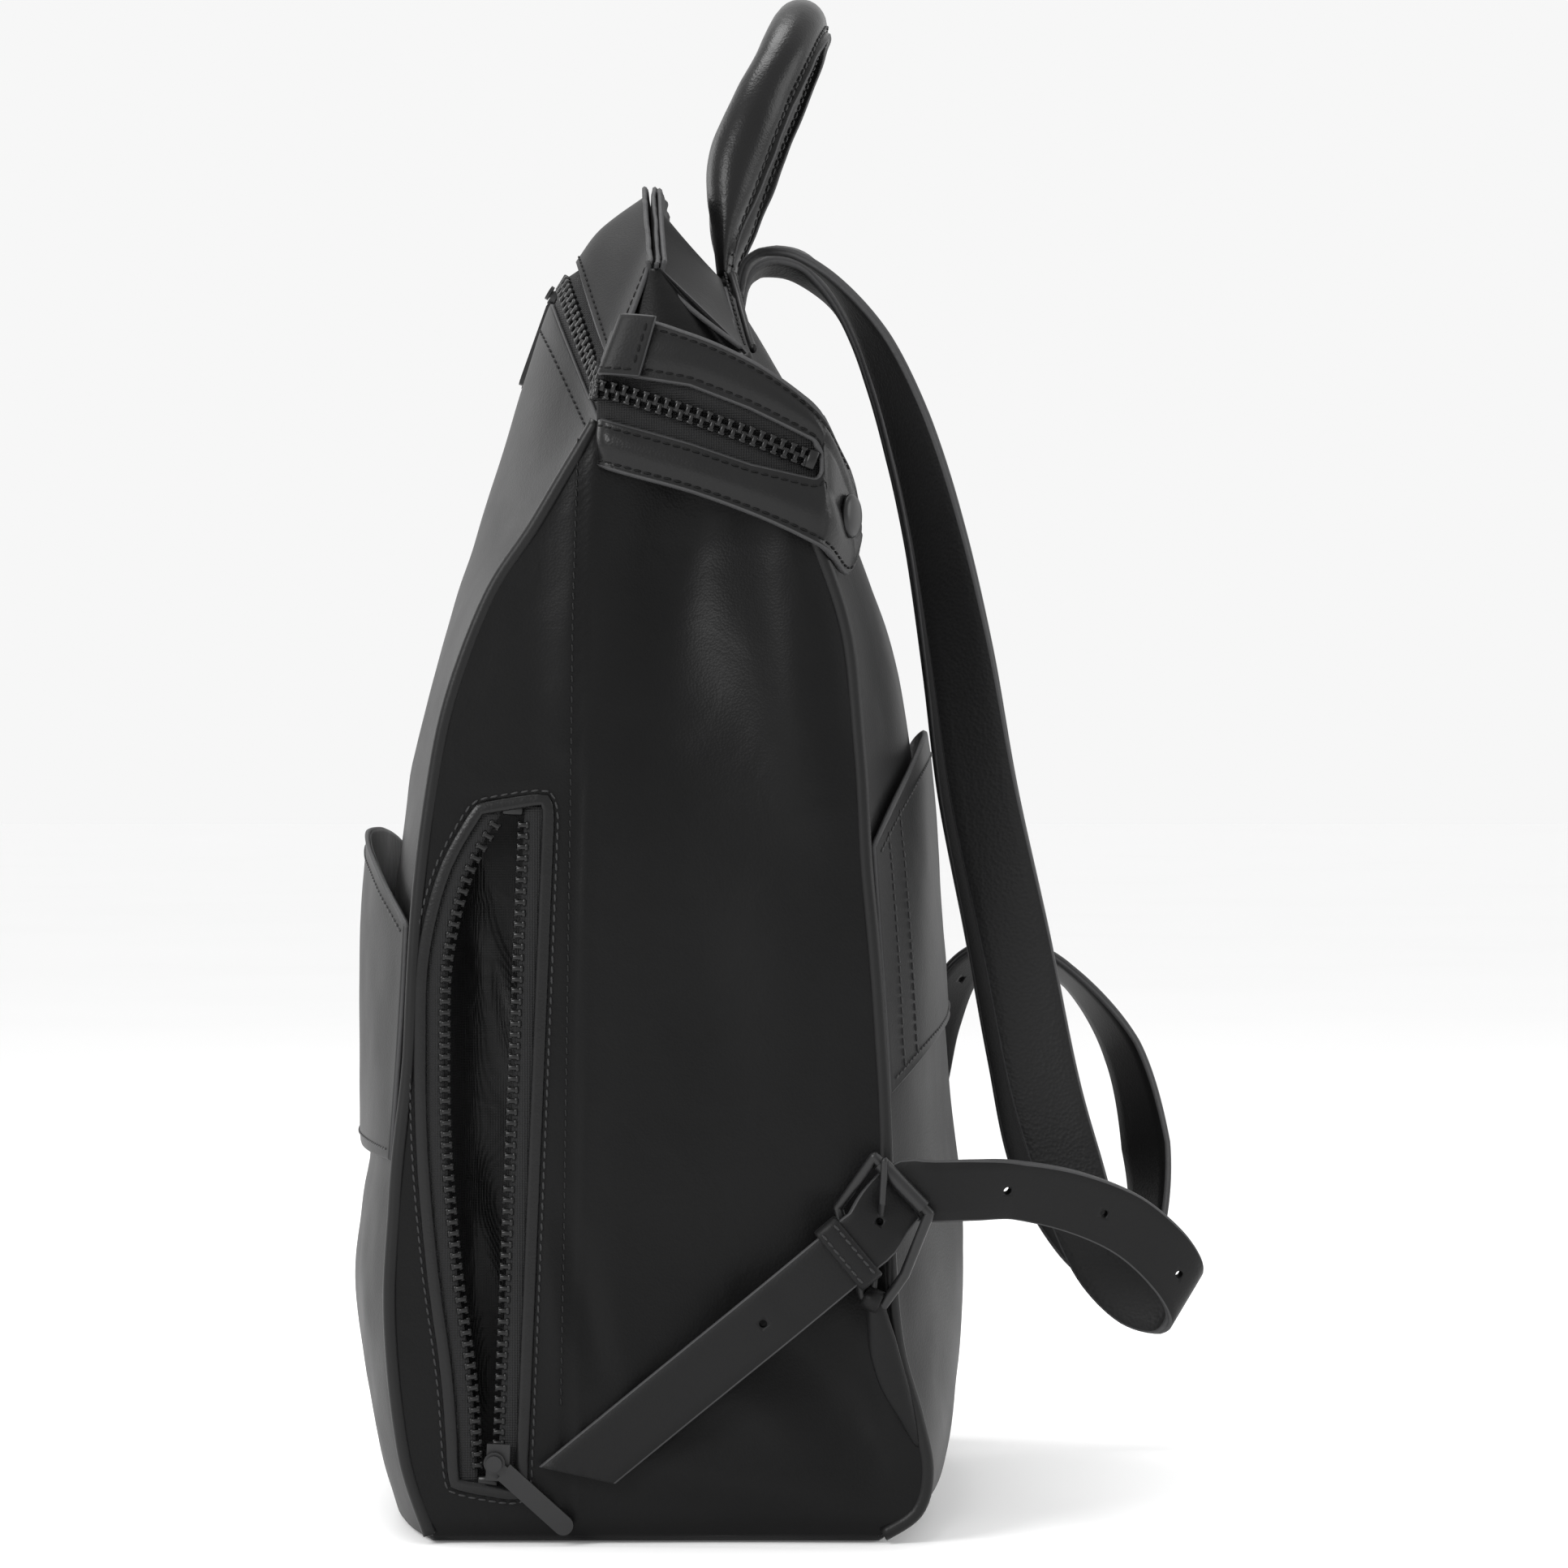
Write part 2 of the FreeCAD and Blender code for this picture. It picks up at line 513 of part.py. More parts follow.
LOOP_RIGHT = [
    (V(97, 119.5, 110.0), (0.1, 1, 0.15), 21.5), (V(99, 124.5, 94.5), (0.15, 0.92, 0.42), 21.0),
    (V(101.5, 131.5, 80.5), (0.15, 0.75, 0.66), 21.0), (V(105, 141.0, 71.0), (0.12, 0.58, 0.81), 20.5),
    (V(110, 150.8, 68.6), (0.1, 0.5, 0.86), 20.0), (V(117, 153.8, 74.0), (0.1, 0.5, 0.86), 20.0),
    (V(122.5, 148.5, 83.5), (0.1, 0.47, 0.88), 20.0), (V(127.5, 136.0, 94.6), (0.1, 0.36, 0.93), 19.5),
    (V(133, 119.5, 102.0), (0.25, 0.1, 0.95), 19.0),
    (V(138.5, 102.0, 106.0), (0.35, 0, 0.93), STRAP_NARROW),
    (V(142, 89.0, 106.3), (0.15, -0.2, 0.96), STRAP_NARROW),
    (V(143.1, 80.8, 106.1), (0, -0.35, 0.94), STRAP_NARROW)]
LOOP_LEFT = [  # the other strap's loop stands higher before it comes back to its buckle
    (V(99, 120.0, 99.0), (0.1, 1, 0.3), 21.5), (V(102, 135.0, 72.0), (0.2, 0.9, 0.5), 21.0),
    (V(105, 149.5, 62.5), (0.6, 0.3, 0.7), 20.5), (V(108, 157.0, 76.0), (0.85, -0.45, 0.2), 20.0),
    (V(111, 157.0, 103.0), (0.65, -0.75, 0.05), 20.0), (V(115, 149.0, 136.0), (0.8, -0.55, -0.2), 19.5),
    (V(120, 131.0, 161.0), (0.9, 0, -0.35), 19.0), (V(127, 112.0, 170.0), (0.9, 0.1, -0.4), STRAP_NARROW),
    (V(134.5, 96.0, 164.0), (0.8, 0.3, -0.45), STRAP_NARROW),
    (V(140, 86.0, 145.0), (0.55, 0.6, -0.5), STRAP_NARROW),
    (V(143, 80.5, 124.0), (0.2, 0.85, -0.4), STRAP_NARROW),
    (V(143.2, 79.0, 115.5), (0, 0.9, -0.4), STRAP_NARROW)]
TAIL = [
    (V(143.1, 75.0, 106.0), (0, -0.45, 0.9), STRAP_NARROW),
    (V(143.1, 68.2, 106.0), (0, -0.6, 0.8), STRAP_NARROW),
    (V(145.6, 62.2, 100.2), (0, -0.638, 0.77), STRAP_NARROW),
    (V(148.9, 58.2, 93.9), (0, -0.638, 0.77), STRAP_NARROW),
    (V(149.4, 55.0, 91.2), (0, -0.638, 0.77), STRAP_NARROW),
    (V(149.4, 44.0, 82.1), (0, -0.638, 0.77), STRAP_NARROW),
    (V(149.4, 34.0, 73.8), (0, -0.638, 0.77), STRAP_NARROW),
    (V(149.2, 24.0, 65.6), (0, -0.638, 0.77), STRAP_NARROW),
    (V(144.0, -2.0, 44.0), (0, -0.638, 0.77), STRAP_NARROW),
    (V(141.3, -40.0, 12.6), (0, -0.638, 0.77), STRAP_NARROW)]
TAIL_TIP = [(26.6, 8.6), (-81.4, 32.1), (-81.4, -30.0), (26.6, -30.0)]   # cut off below this slant
HOLE_R = 1.5
TAIL_HOLES = [(61.0, 97.6), (28.4, 69.2)]
FRAME_CORNERS = [  # the roller bar first; the short bar that the anchor holds is the fourth
    V(147.4, 59.0, 116.5), V(147.4, 75.4, 99.7), V(145.5, 68.0, 81.1),
    V(143.6, 61.7, 72.0), V(142.4, 55.6, 74.8), V(142.9, 48.4, 101.0)]
ROLLER_HALF = 9.3
ROLLER_R = 2.5
KEEPER_START, KEEPER_END = V(149.4, 55.0, 91.2), V(149.4, 34.0, 73.8)   # the tail's straight stretch
KEEPER_STEP = 5.0         # of the keeper's middle from the start of that stretch
KEEPER_WIDE = 8.0
KEEPER_WALL = 1.8
PRONG = [V(142.6, 58.7, 76.4), V(142.2, 60.3, 92.0), V(149.4, 61.4, 103.0), V(151.5, 62.0, 115.6)]
ANCHOR = [
    (V(143.0, 58.9, 70.6), (0.2, 0.9, -0.4), 5.6), (V(140.9, 63.5, 57.0), (0.1, 0.95, 0.2), 10.0),
    (V(140.2, 71.0, 35.0), (0.0, 0.95, 0.3), 14.0)]


def straps():
    save("shoulder_strap_right", strap(STRAP_DOWN + LOOP_RIGHT, STRAP_THICK))
    save("shoulder_strap_left", mirrored(strap(STRAP_DOWN + LOOP_LEFT, STRAP_THICK)))
    band = strap(TAIL, STRAP_THICK).cut(plate(TAIL_TIP, 100, 180))
    for y, z in TAIL_HOLES:
        band = band.cut(Part.makeCylinder(HOLE_R, 60, V(120, y, z), V(1, 0, 0)))
    save_pair("strap_tail", band)


def keeper():
    way = (KEEPER_END - KEEPER_START).normalize()
    wide = V(0, -way.z, way.y) * -1
    axes = (way, wide, way.cross(wide))
    centre = KEEPER_START + way * KEEPER_STEP
    slot_wide = STRAP_NARROW + 2 * CLEAR + 0.2
    slot_thick = STRAP_THICK + 2 * CLEAR + 0.2
    outer = block(centre, axes, (KEEPER_WIDE, slot_wide + 2 * KEEPER_WALL, slot_thick + 2 * KEEPER_WALL))
    return outer.cut(block(centre, axes, (KEEPER_WIDE * 2, slot_wide, slot_thick)))


def wire(points, radius):
    rods = [rod(a, b, radius) for a, b in zip(points, points[1:])]
    balls = [Part.makeSphere(radius, p) for p in points]
    return rods[0].fuse(rods[1:] + balls).removeSplitter()


def buckles():
    save_pair("buckle_frame", wire(FRAME_CORNERS + FRAME_CORNERS[:1], BUCKLE_WIRE_R))
    along = (FRAME_CORNERS[1] - FRAME_CORNERS[0]).normalize()
    middle = (FRAME_CORNERS[0] + FRAME_CORNERS[1]) * 0.5
    sleeve = Part.makeCylinder(ROLLER_R, 2 * ROLLER_HALF, middle - along * ROLLER_HALF, along)
    bore = Part.makeCylinder(BUCKLE_WIRE_R + 0.08, 60, middle - along * 30, along)
    save_pair("buckle_roller", sleeve.cut(bore))
    save_pair("buckle_prong", wire(PRONG, 1.1))
    save_pair("strap_keeper", keeper())
    bar = FRAME_CORNERS[3:5]
    along = (bar[1] - bar[0]).normalize()
    middle = (bar[0] + bar[1]) * 0.5
    loop = Part.makeCylinder(3.6, 5.2, middle - along * 2.6, along)
    hole = Part.makeCylinder(BUCKLE_WIRE_R + 0.2, 20, middle - along * 10, along)
    save_pair("strap_anchor", loop.fuse(strap(ANCHOR, 2.6)).cut(hole))


# ---------------------------------------------------------------- build
shell_panels()
base_pieces()
side = gusset()
save("gusset_left", mirrored(side))
save("gusset_right", side.cut(plate(side_slot(), 100, 160)))
save("piping_front", piping(FRONT_ROWS))
save("piping_back", piping(BACK_ROWS))
save("lining", lining())
top_pieces()
mouth_zip()
mouth_sliders()
side_zip_pieces()
side_slider_pieces()
save("side_pocket_bag", side_pocket_bag())
wing_pieces()
handle_pieces()
straps()
buckles()
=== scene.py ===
"""Looks of a soft leather backpack: zipped top mouth, side wings, rolled handle, buckled straps.

Work is done in millimetres in the CAD frame and scaled to metres when a mesh is made.
"""
import math
import bmesh
import bpy
import numpy as np
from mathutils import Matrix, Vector


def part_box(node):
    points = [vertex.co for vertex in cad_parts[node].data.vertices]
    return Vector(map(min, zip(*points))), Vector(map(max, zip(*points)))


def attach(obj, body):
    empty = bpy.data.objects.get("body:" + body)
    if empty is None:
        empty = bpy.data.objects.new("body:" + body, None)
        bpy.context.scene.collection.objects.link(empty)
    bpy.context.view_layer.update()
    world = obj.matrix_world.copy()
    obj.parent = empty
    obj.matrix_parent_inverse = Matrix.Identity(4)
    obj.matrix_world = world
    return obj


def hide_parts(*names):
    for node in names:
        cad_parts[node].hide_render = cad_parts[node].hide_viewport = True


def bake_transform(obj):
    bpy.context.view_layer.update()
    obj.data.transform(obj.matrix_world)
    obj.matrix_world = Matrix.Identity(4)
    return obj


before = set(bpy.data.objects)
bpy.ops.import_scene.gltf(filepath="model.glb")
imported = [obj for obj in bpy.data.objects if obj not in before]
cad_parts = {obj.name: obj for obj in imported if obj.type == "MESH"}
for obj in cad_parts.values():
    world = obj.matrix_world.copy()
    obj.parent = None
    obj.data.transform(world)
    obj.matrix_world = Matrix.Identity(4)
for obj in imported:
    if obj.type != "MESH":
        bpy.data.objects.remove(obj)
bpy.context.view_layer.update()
MM = 0.001
HALF_WIDTH, GUSSET_X, FLAT_SHARE = 136.0, 138.5, 0.51
LEATHER_THICK, POCKET_THICK, LINING_THICK, TAPE_THICK, STRAP_THICK = 1.6, 1.8, 0.7, 0.8, 3.0
STITCH_PITCH, STITCH_LIFT, TOOTH_PITCH = 3.1, 0.12, 3.3
FORWARD, REARWARD, RIGHTWARD = (0, -1, 0), (0, 1, 0), (1, 0, 0)
ARCH_FROM = 200.0       # height at which the front and back panels start to follow the top's arch
DENSE = 24              # places per station on a smooth line before it is sampled evenly
WINDING_PROBE = 200     # quads looked at to tell which way a sheet's faces turn
EDGE_ROUND = 0.32       # share of a sheet's thickness by which its edge swells
LEFT_RIGHT = (("right", 1), ("left", -1))

# ------------------------------------------------------------------ camera first
camera = bpy.data.objects.new("camera", bpy.data.cameras.new("camera"))
bpy.context.scene.collection.objects.link(camera)
camera.location = (1.800, 0.032, 0.228)
camera.rotation_euler = (math.pi / 2, 0.0, math.pi / 2)
camera.data.lens = 127.0
camera.data.sensor_width = 36.0
bpy.context.scene.camera = camera


def arr(*v):
    return np.array(v, float)


def unit(v):
    v = np.asarray(v, float)
    return v / np.maximum(np.linalg.norm(v, axis=-1, keepdims=True), 1e-9)


# ------------------------------------------------------------------ curves and noise
def smooth(points, t):
    """Catmull-Rom line through points, at places t counted in points."""
    p = np.asarray(points, float)
    last = len(p) - 1
    t = np.clip(np.atleast_1d(np.asarray(t, float)), 0, last)
    i = np.minimum(t.astype(int), last - 1)
    f = (t - i)[:, None]
    a, b, c, d = p[np.maximum(i - 1, 0)], p[i], p[i + 1], p[np.minimum(i + 2, last)]
    square, cube = 2 * a - 5 * b + 4 * c - d, 3 * b - a - 3 * c + d
    return 0.5 * (2 * b + (c - a) * f + square * f ** 2 + cube * f ** 3)


def run_length(points):
    """Distance along a line at each of its points."""
    return np.concatenate([[0], np.cumsum(np.linalg.norm(np.diff(points[:, :3], axis=0), axis=1))])


def straight(points, step):
    """Polyline sampled at about an even step; rows may carry more than 3 numbers."""
    p = np.asarray(points, float)
    along = run_length(p)
    at = np.linspace(0, along[-1], max(2, int(round(along[-1] / step)) + 1))
    return np.stack([np.interp(at, along, p[:, k]) for k in range(p.shape[1])], 1)


def dense(points):
    last = len(points) - 1
    return smooth(points, np.linspace(0, last, DENSE * last + 1))


def even(points, step):
    """The smooth line through points, sampled at about an even step."""
    return straight(dense(points), step)


def look_up(table, at):
    """Second numbers of a table of pairs, read off at the first."""
    first, second = zip(*table)
    return np.interp(at, first, second)


def grid_of(x, y, z):
    """Grid of points from coordinates that may each be a row, a column or a whole table."""
    return np.stack(np.broadcast_arrays(x, y, z), -1).astype(float)


def across(start, end, shares):
    """Rows of points from one line to another."""
    shares = np.asarray(shares, float)[:, None, None]
    return start[None] * (1 - shares) + end[None] * shares


def noise(p, scale, seed=0):
    """Smooth value noise in -1..1 at points in mm."""
    q = np.asarray(p, float) / scale + seed * 7.31
    i = np.floor(q).astype(np.int64)
    f = q - i
    f = f * f * (3 - 2 * f)
    out = 0
    for dx in (0, 1):
        for dy in (0, 1):
            for dz in (0, 1):
                h = (i[..., 0] + dx) * 73856093 ^ (i[..., 1] + dy) * 19349663 ^ (i[..., 2] + dz) * 83492791
                h = ((h ^ (h >> 13)) * 1274126177) & 0xFFFFFF
                w = (f[..., 0] if dx else 1 - f[..., 0]) * (f[..., 1] if dy else 1 - f[..., 1])
                out = out + w * (f[..., 2] if dz else 1 - f[..., 2]) * (h / 0x7FFFFF - 1.0)
    return out


def crease(p, a, b, width, depth):
    """A soft trough or ridge along the segment a-b of the (y, z) plane, fading at its ends."""
    q, a, b = p[..., 1:3], arr(*a), arr(*b)
    d = b - a
    t = np.clip(((q - a) @ d) / (d @ d), 0, 1)
    away = np.linalg.norm(q - (a + t[..., None] * d), axis=-1)
    return depth * np.exp(-(away / width) ** 2) * (0.35 + 0.65 * np.sin(math.pi * np.clip(t, 0.02, 0.98)))


# ------------------------------------------------------------------ materials
def mix_colour(tree, factor, low, high):
    node = tree.nodes.new("ShaderNodeMix")
    node.data_type = "RGBA"
    node.inputs[6].default_value = (*low, 1)
    node.inputs[7].default_value = (*high, 1)
    tree.links.new(factor, node.inputs[0])
    return node.outputs[2]


def texture(tree, kind, scale, coords, **inputs):
    node = tree.nodes.new(kind)
    node.inputs["Scale"].default_value = scale
    for key, value in inputs.items():
        node.inputs[key].default_value = value
    tree.links.new(coords, node.inputs["Vector"])
    return node


def ramp(tree, value, low, high, out_low=0.0, out_high=1.0):
    node = tree.nodes.new("ShaderNodeMapRange")
    tree.links.new(value, node.inputs["Value"])
    for key, number in (("From Min", low), ("From Max", high), ("To Min", out_low), ("To Max", out_high)):
        node.inputs[key].default_value = number
    return node.outputs["Result"]


def bump(tree, height, strength, distance, under=None):
    node = tree.nodes.new("ShaderNodeBump")
    node.inputs["Strength"].default_value = strength
    node.inputs["Distance"].default_value = distance
    tree.links.new(height, node.inputs["Height"])
    if under is not None:
        tree.links.new(under, node.inputs["Normal"])
    return node.outputs["Normal"]


def surface(name, low, high, rough, grain=None, wrinkle=None, sheen=0.0, specular=0.5, metallic=0.0,
            patch=14.0, weave=None):
    """Principled material: patchy colour and roughness, fine grain, optional wrinkles or weave.

    rough is (low, high); grain and wrinkle are (scale per metre, strength, distance in metres)."""
    mat = bpy.data.materials.new(name)
    mat.use_nodes = True
    tree = mat.node_tree
    shader = tree.nodes["Principled BSDF"]
    coords = tree.nodes.new("ShaderNodeTexCoord").outputs["Object"]
    broad = texture(tree, "ShaderNodeTexNoise", patch, coords, Detail=4.0, Roughness=0.6)
    fine = texture(tree, "ShaderNodeTexNoise", 900.0, coords, Detail=2.0)
    blend = tree.nodes.new("ShaderNodeMath")
    blend.operation = "MULTIPLY_ADD"
    blend.inputs[1].default_value = 0.35
    tree.links.new(fine.outputs["Fac"], blend.inputs[0])
    tree.links.new(ramp(tree, broad.outputs["Fac"], 0.3, 0.7, 0.0, 0.65), blend.inputs[2])
    tree.links.new(mix_colour(tree, blend.outputs[0], low, high), shader.inputs["Base Color"])
    tree.links.new(ramp(tree, broad.outputs["Fac"], 0.3, 0.7, *rough), shader.inputs["Roughness"])
    normal = None
    if wrinkle:
        folds = texture(tree, "ShaderNodeTexNoise", wrinkle[0], coords, Detail=3.0, Distortion=0.8)
        normal = bump(tree, folds.outputs["Fac"], wrinkle[1], wrinkle[2])
    if grain:
        cells = texture(tree, "ShaderNodeTexVoronoi", grain[0], coords, Randomness=1.0)
        normal = bump(tree, cells.outputs["Distance"], grain[1], grain[2], normal)
    if weave:
        for direction in ("X", "Y", "Z"):
            wave = texture(tree, "ShaderNodeTexWave", weave[0], coords, Distortion=0.6)
            wave.bands_direction = direction
            normal = bump(tree, wave.outputs["Fac"], weave[1], weave[2], normal)
    if normal is not None:
        tree.links.new(normal, shader.inputs["Normal"])
    shader.inputs["Sheen Weight"].default_value = sheen
    shader.inputs["Sheen Roughness"].default_value = 0.45
    shader.inputs["Specular IOR Level"].default_value = specular
    shader.inputs["Metallic"].default_value = metallic
    return mat


def grey(value, blue=1.03):
    return (value, value, value * blue)


HIDE, TWIST = (1300, 0.16, 0.0003), (2600, 0.4, 0.0001)   # grain of the leather and of the thread
# Leather of the sides and gores: a darker, less shiny copy of the panel leather, painted shade for the sides
# that face away from the lamps.
SHADED_SIDE_LEATHER = surface("leather", grey(0.0025), grey(0.0045), (0.36, 0.47), HIDE, (50, 0.22, 0.0016),
                  specular=0.13)
PANEL = surface("panel_leather", grey(0.006), grey(0.010), (0.42, 0.54), HIDE, (45, 0.16, 0.0012),
                sheen=0.01, specular=0.2)
BAND = surface("band_leather", grey(0.004), grey(0.007), (0.27, 0.38), HIDE, (120, 0.22, 0.0008),
               sheen=0.01, specular=0.24)
PIPING = surface("piping_leather", grey(0.003), grey(0.006), (0.36, 0.48), (1400, 0.15, 0.0002),
                 specular=0.25)
STRAP = surface("strap_leather", grey(0.005), grey(0.008), (0.40, 0.50), (1400, 0.15, 0.0003),
                (60, 0.10, 0.0008), sheen=0.01, specular=0.16)
SUEDE = surface("strap_back", grey(0.006), grey(0.011), (0.55, 0.70), (900, 0.45, 0.0004),
                sheen=0.05, specular=0.2)
EDGE = surface("edge_paint", grey(0.026), grey(0.050), (0.5, 0.65), (700, 0.3, 0.0003), specular=0.3)
THREAD = surface("thread", grey(0.013), grey(0.026), (0.45, 0.6), TWIST, sheen=0.05, specular=0.3)
DARK_THREAD = surface("dark_thread", grey(0.0025), grey(0.005), (0.5, 0.65), TWIST, specular=0.15)
TAPE = surface("zip_tape", grey(0.010), grey(0.018), (0.65, 0.8), weave=(420, 0.45, 0.0005),
               sheen=0.03, specular=0.2)
TEETH = surface("zip_plastic", grey(0.003), grey(0.005), (0.24, 0.36), specular=0.32)
METAL = surface("black_metal", grey(0.012), grey(0.020), (0.32, 0.44), (2200, 0.06, 0.0001), metallic=0.4)
CLOTH = surface("lining_cloth", grey(0.006), grey(0.010), (0.35, 0.5), weave=(650, 0.2, 0.0003),
                wrinkle=(60, 0.5, 0.002), specular=0.3)
BOARD = surface("board", grey(0.08), grey(0.11), (0.7, 0.8), (300, 0.2, 0.0004))
# Walls of the strap's punched holes, darker than the strap and its edges: painted shade inside the holes.
HOLE_SHADE = surface("punched_hole_painted_shade", grey(0.003), grey(0.005), (0.6, 0.7), (900, 0.2, 0.0002), specular=0.1)
LINED = (PANEL, CLOTH, EDGE)   # outer face, inner face and edge of a lined leather sheet


# ------------------------------------------------------------------ mesh building
def make_object(name, verts, faces, mats, index):
    """Smooth-shaded mesh object, scaled to metres."""
    mesh = bpy.data.meshes.new(name)
    mesh.from_pydata((np.asarray(verts) * MM).tolist(), [], [tuple(int(i) for i in f) for f in faces])
    for mat in mats:
        mesh.materials.append(mat)
    mesh.polygons.foreach_set("material_index", np.asarray(index, np.int32))
    mesh.polygons.foreach_set("use_smooth", np.ones(len(mesh.polygons), bool))
    mesh.validate()
    mesh.update()
    obj = bpy.data.objects.new(name, mesh)
    bpy.context.scene.collection.objects.link(obj)
    return obj


def declare(obj, body, replaced=(), blend=None):
    """Parents a piece to its body's empty, or bakes its place into its mesh when blend is given, and hides
    the CAD parts it replaces; blend is (parent, child, start, end), in mm, and only whether it is given is
    used.
    """
    if blend:
        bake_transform(obj)
    else:
        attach(obj, body)
    if replaced:
        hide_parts(*replaced)
    return obj


class Pile:
    """Collects meshes that become one piece."""

    def __init__(self):
        self.verts, self.faces, self.index = np.zeros((0, 3)), [], []

    def put(self, verts, faces, index=0):
        """Adds a mesh; index is one material number, or one for each face."""
        self.faces += [tuple(i + len(self.verts) for i in f) for f in faces]
        self.index += list(index) if hasattr(index, "__len__") else [index] * len(faces)
        self.verts = np.concatenate([self.verts, np.asarray(verts, float).reshape(-1, 3)])
        return self

    def join(self, other):
        return self.put(other.verts, other.faces, other.index)

    def mirror(self):
        return Pile().put(self.verts * arr(-1, 1, 1), [f[::-1] for f in self.faces], self.index)

    def add(self, name, mats, body, slot, replaced=(), blend=None):
        obj = make_object(name, self.verts, self.faces, mats, self.index)
        return declare(obj, body, replaced, blend)

    def add_pair(self, name, mats, body, slot, node=""):
        """The pile on the right and its mirror image on the left; a star stands for the side."""
        for side, pile in (("right", self), ("left", self.mirror())):
            nodes = (node.replace("*", side),) if node else ()
            pile.add(name.replace("*", side), mats, body.replace("*", side[0]), slot, nodes)


def grid_normals(grid, facing):
    n = unit(np.cross(np.gradient(grid, axis=1), np.gradient(grid, axis=0)))
    return -n if (n.reshape(-1, 3) @ np.asarray(facing, float)).mean() < 0 else n


def sheet(grid, thick, facing, hole=None, closed=False):
    """Thick sheet under a grid of outer points (rows, columns, 3), with rounded edges; returns a Pile.

    facing is a direction or the grid's own normals. Material 0 is the outer face, 1 the inner face and
    2 the edge. hole marks cells left out, and closed joins the last column to the first."""
    rows, cols, _ = grid.shape
    n = facing if np.ndim(facing) == 3 else grid_normals(grid, facing)
    outer, inward = grid.reshape(-1, 3), n.reshape(-1, 3)
    inner = outer - inward * thick
    quads = [(r * cols + c, r * cols + (c + 1) % cols, (r + 1) * cols + (c + 1) % cols, (r + 1) * cols + c)
             for r in range(rows - 1) for c in range(cols if closed else cols - 1)
             if hole is None or not hole[r, c]]
    a, b, c, d = (outer[[q[k] for q in quads[:WINDING_PROBE]]] for k in range(4))
    if (np.cross(c - a, d - b) * inward[[q[0] for q in quads[:WINDING_PROBE]]]).sum() < 0:
        quads = [q[::-1] for q in quads]
    edges = dict.fromkeys((q[i], q[(i + 1) % 4]) for q in quads for i in range(4))
    rim = [e for e in edges if e[::-1] not in edges]
    push = {}
    for i, j in rim:
        away = unit(np.cross(outer[j] - outer[i], inward[i]))
        for k in (i, j):
            push[k] = push.get(k, 0) + away
    spots = sorted(push)
    base = len(outer)
    number = {k: 2 * base + m for m, k in enumerate(spots)}
    middle = np.array([(outer[k] + inner[k]) / 2 + unit(push[k]) * thick * EDGE_ROUND for k in spots])
    faces = quads + [tuple(i + base for i in q[::-1]) for q in quads]
    for i, j in rim:
        faces += [(j, i, number[i], number[j]), (number[j], number[i], i + base, j + base)]
    index = [0] * len(quads) + [1] * len(quads) + [2] * (2 * len(rim))
    return Pile().put(np.concatenate([outer, inner, middle]), faces, index)


def ring_faces(rows, sides, wrap=False):
    """Quads between rows of a closed section; its ends are capped, or joined to each other by wrap."""
    faces = []
    for r in range(rows if wrap else rows - 1):
        here, there = r * sides, (r + 1) % rows * sides
        for k in range(sides):
            after = (k + 1) % sides
            faces.append((here + k, here + after, there + after, there + k))
    if not wrap:
        faces += [tuple(range(sides))[::-1], tuple(range((rows - 1) * sides, rows * sides))]
    return faces


def oval(path, radii, side, sides):
    """Oval section along path with half sizes (across, through), and the section's two axes."""
    radii = np.broadcast_to(np.asarray(radii, float), (len(path), 2))
    ahead = unit(np.gradient(path, axis=0))
    side = np.broadcast_to(np.asarray(side, float), path.shape)
    through = unit(side - ahead * (side * ahead).sum(1, keepdims=True))
    sideways = np.cross(ahead, through)
    angle = np.linspace(0, 2 * math.pi, sides, endpoint=False)
    ring = (path[:, None] + sideways[:, None] * (radii[:, :1] * np.cos(angle))[..., None]
            + through[:, None] * (radii[:, 1:] * np.sin(angle))[..., None])
    return ring, sideways, through


def tube(path, radii, side, sides, wobble=0.0):
    """Oval tube along path; returns a Pile."""
    ring, _, _ = oval(path, radii, side, sides)
    if wobble:
        ring = ring + unit(ring - path[:, None]) * (noise(ring, 9.0, 3) * wobble)[..., None]
    return Pile().put(ring, ring_faces(len(path), sides))


def chamfered(size, cut):
    """Vertices and faces of a block with cut edges, centred on the origin."""
    bm = bmesh.new()
    bmesh.ops.create_cube(bm, size=1.0)
    for v in bm.verts:
        v.co = Vector(c * s for c, s in zip(v.co, size))
    bmesh.ops.bevel(bm, geom=list(bm.edges), offset=cut, segments=1, affect="EDGES", profile=0.7)
    bm.verts.ensure_lookup_table()
    verts = np.array([v.co for v in bm.verts])
    faces = [tuple(v.index for v in f.verts) for f in bm.faces]
    bm.free()
    return verts, faces


def stamp(pile, shape, centres, ahead, side, out):
    """Copies of a small shape, each on its own axes."""
    verts, faces = shape
    placed = [c + verts[:, :1] * a + verts[:, 1:2] * s + verts[:, 2:] * o
              for c, a, s, o in zip(centres, ahead, side, out)]
    starts = [m * len(verts) for m in range(len(placed))]
    pile.put(np.concatenate(placed), [tuple(i + start for i in f) for start in starts for f in faces])


def stitch_shape(sides=6):
    """A stitch along x: rings of (place, radius), narrower across than up."""
    rings = [(-1.0, 0.18), (-0.72, 0.34), (0.0, 0.42), (0.72, 0.34), (1.0, 0.18)]
    verts = [(x * 1.12, 0.86 * r * math.cos(a), r * math.sin(a)) for x, r in rings
             for a in np.linspace(0, 2 * math.pi, sides, endpoint=False)]
    return np.array(verts), ring_faces(len(rings), sides)


STITCH = stitch_shape()


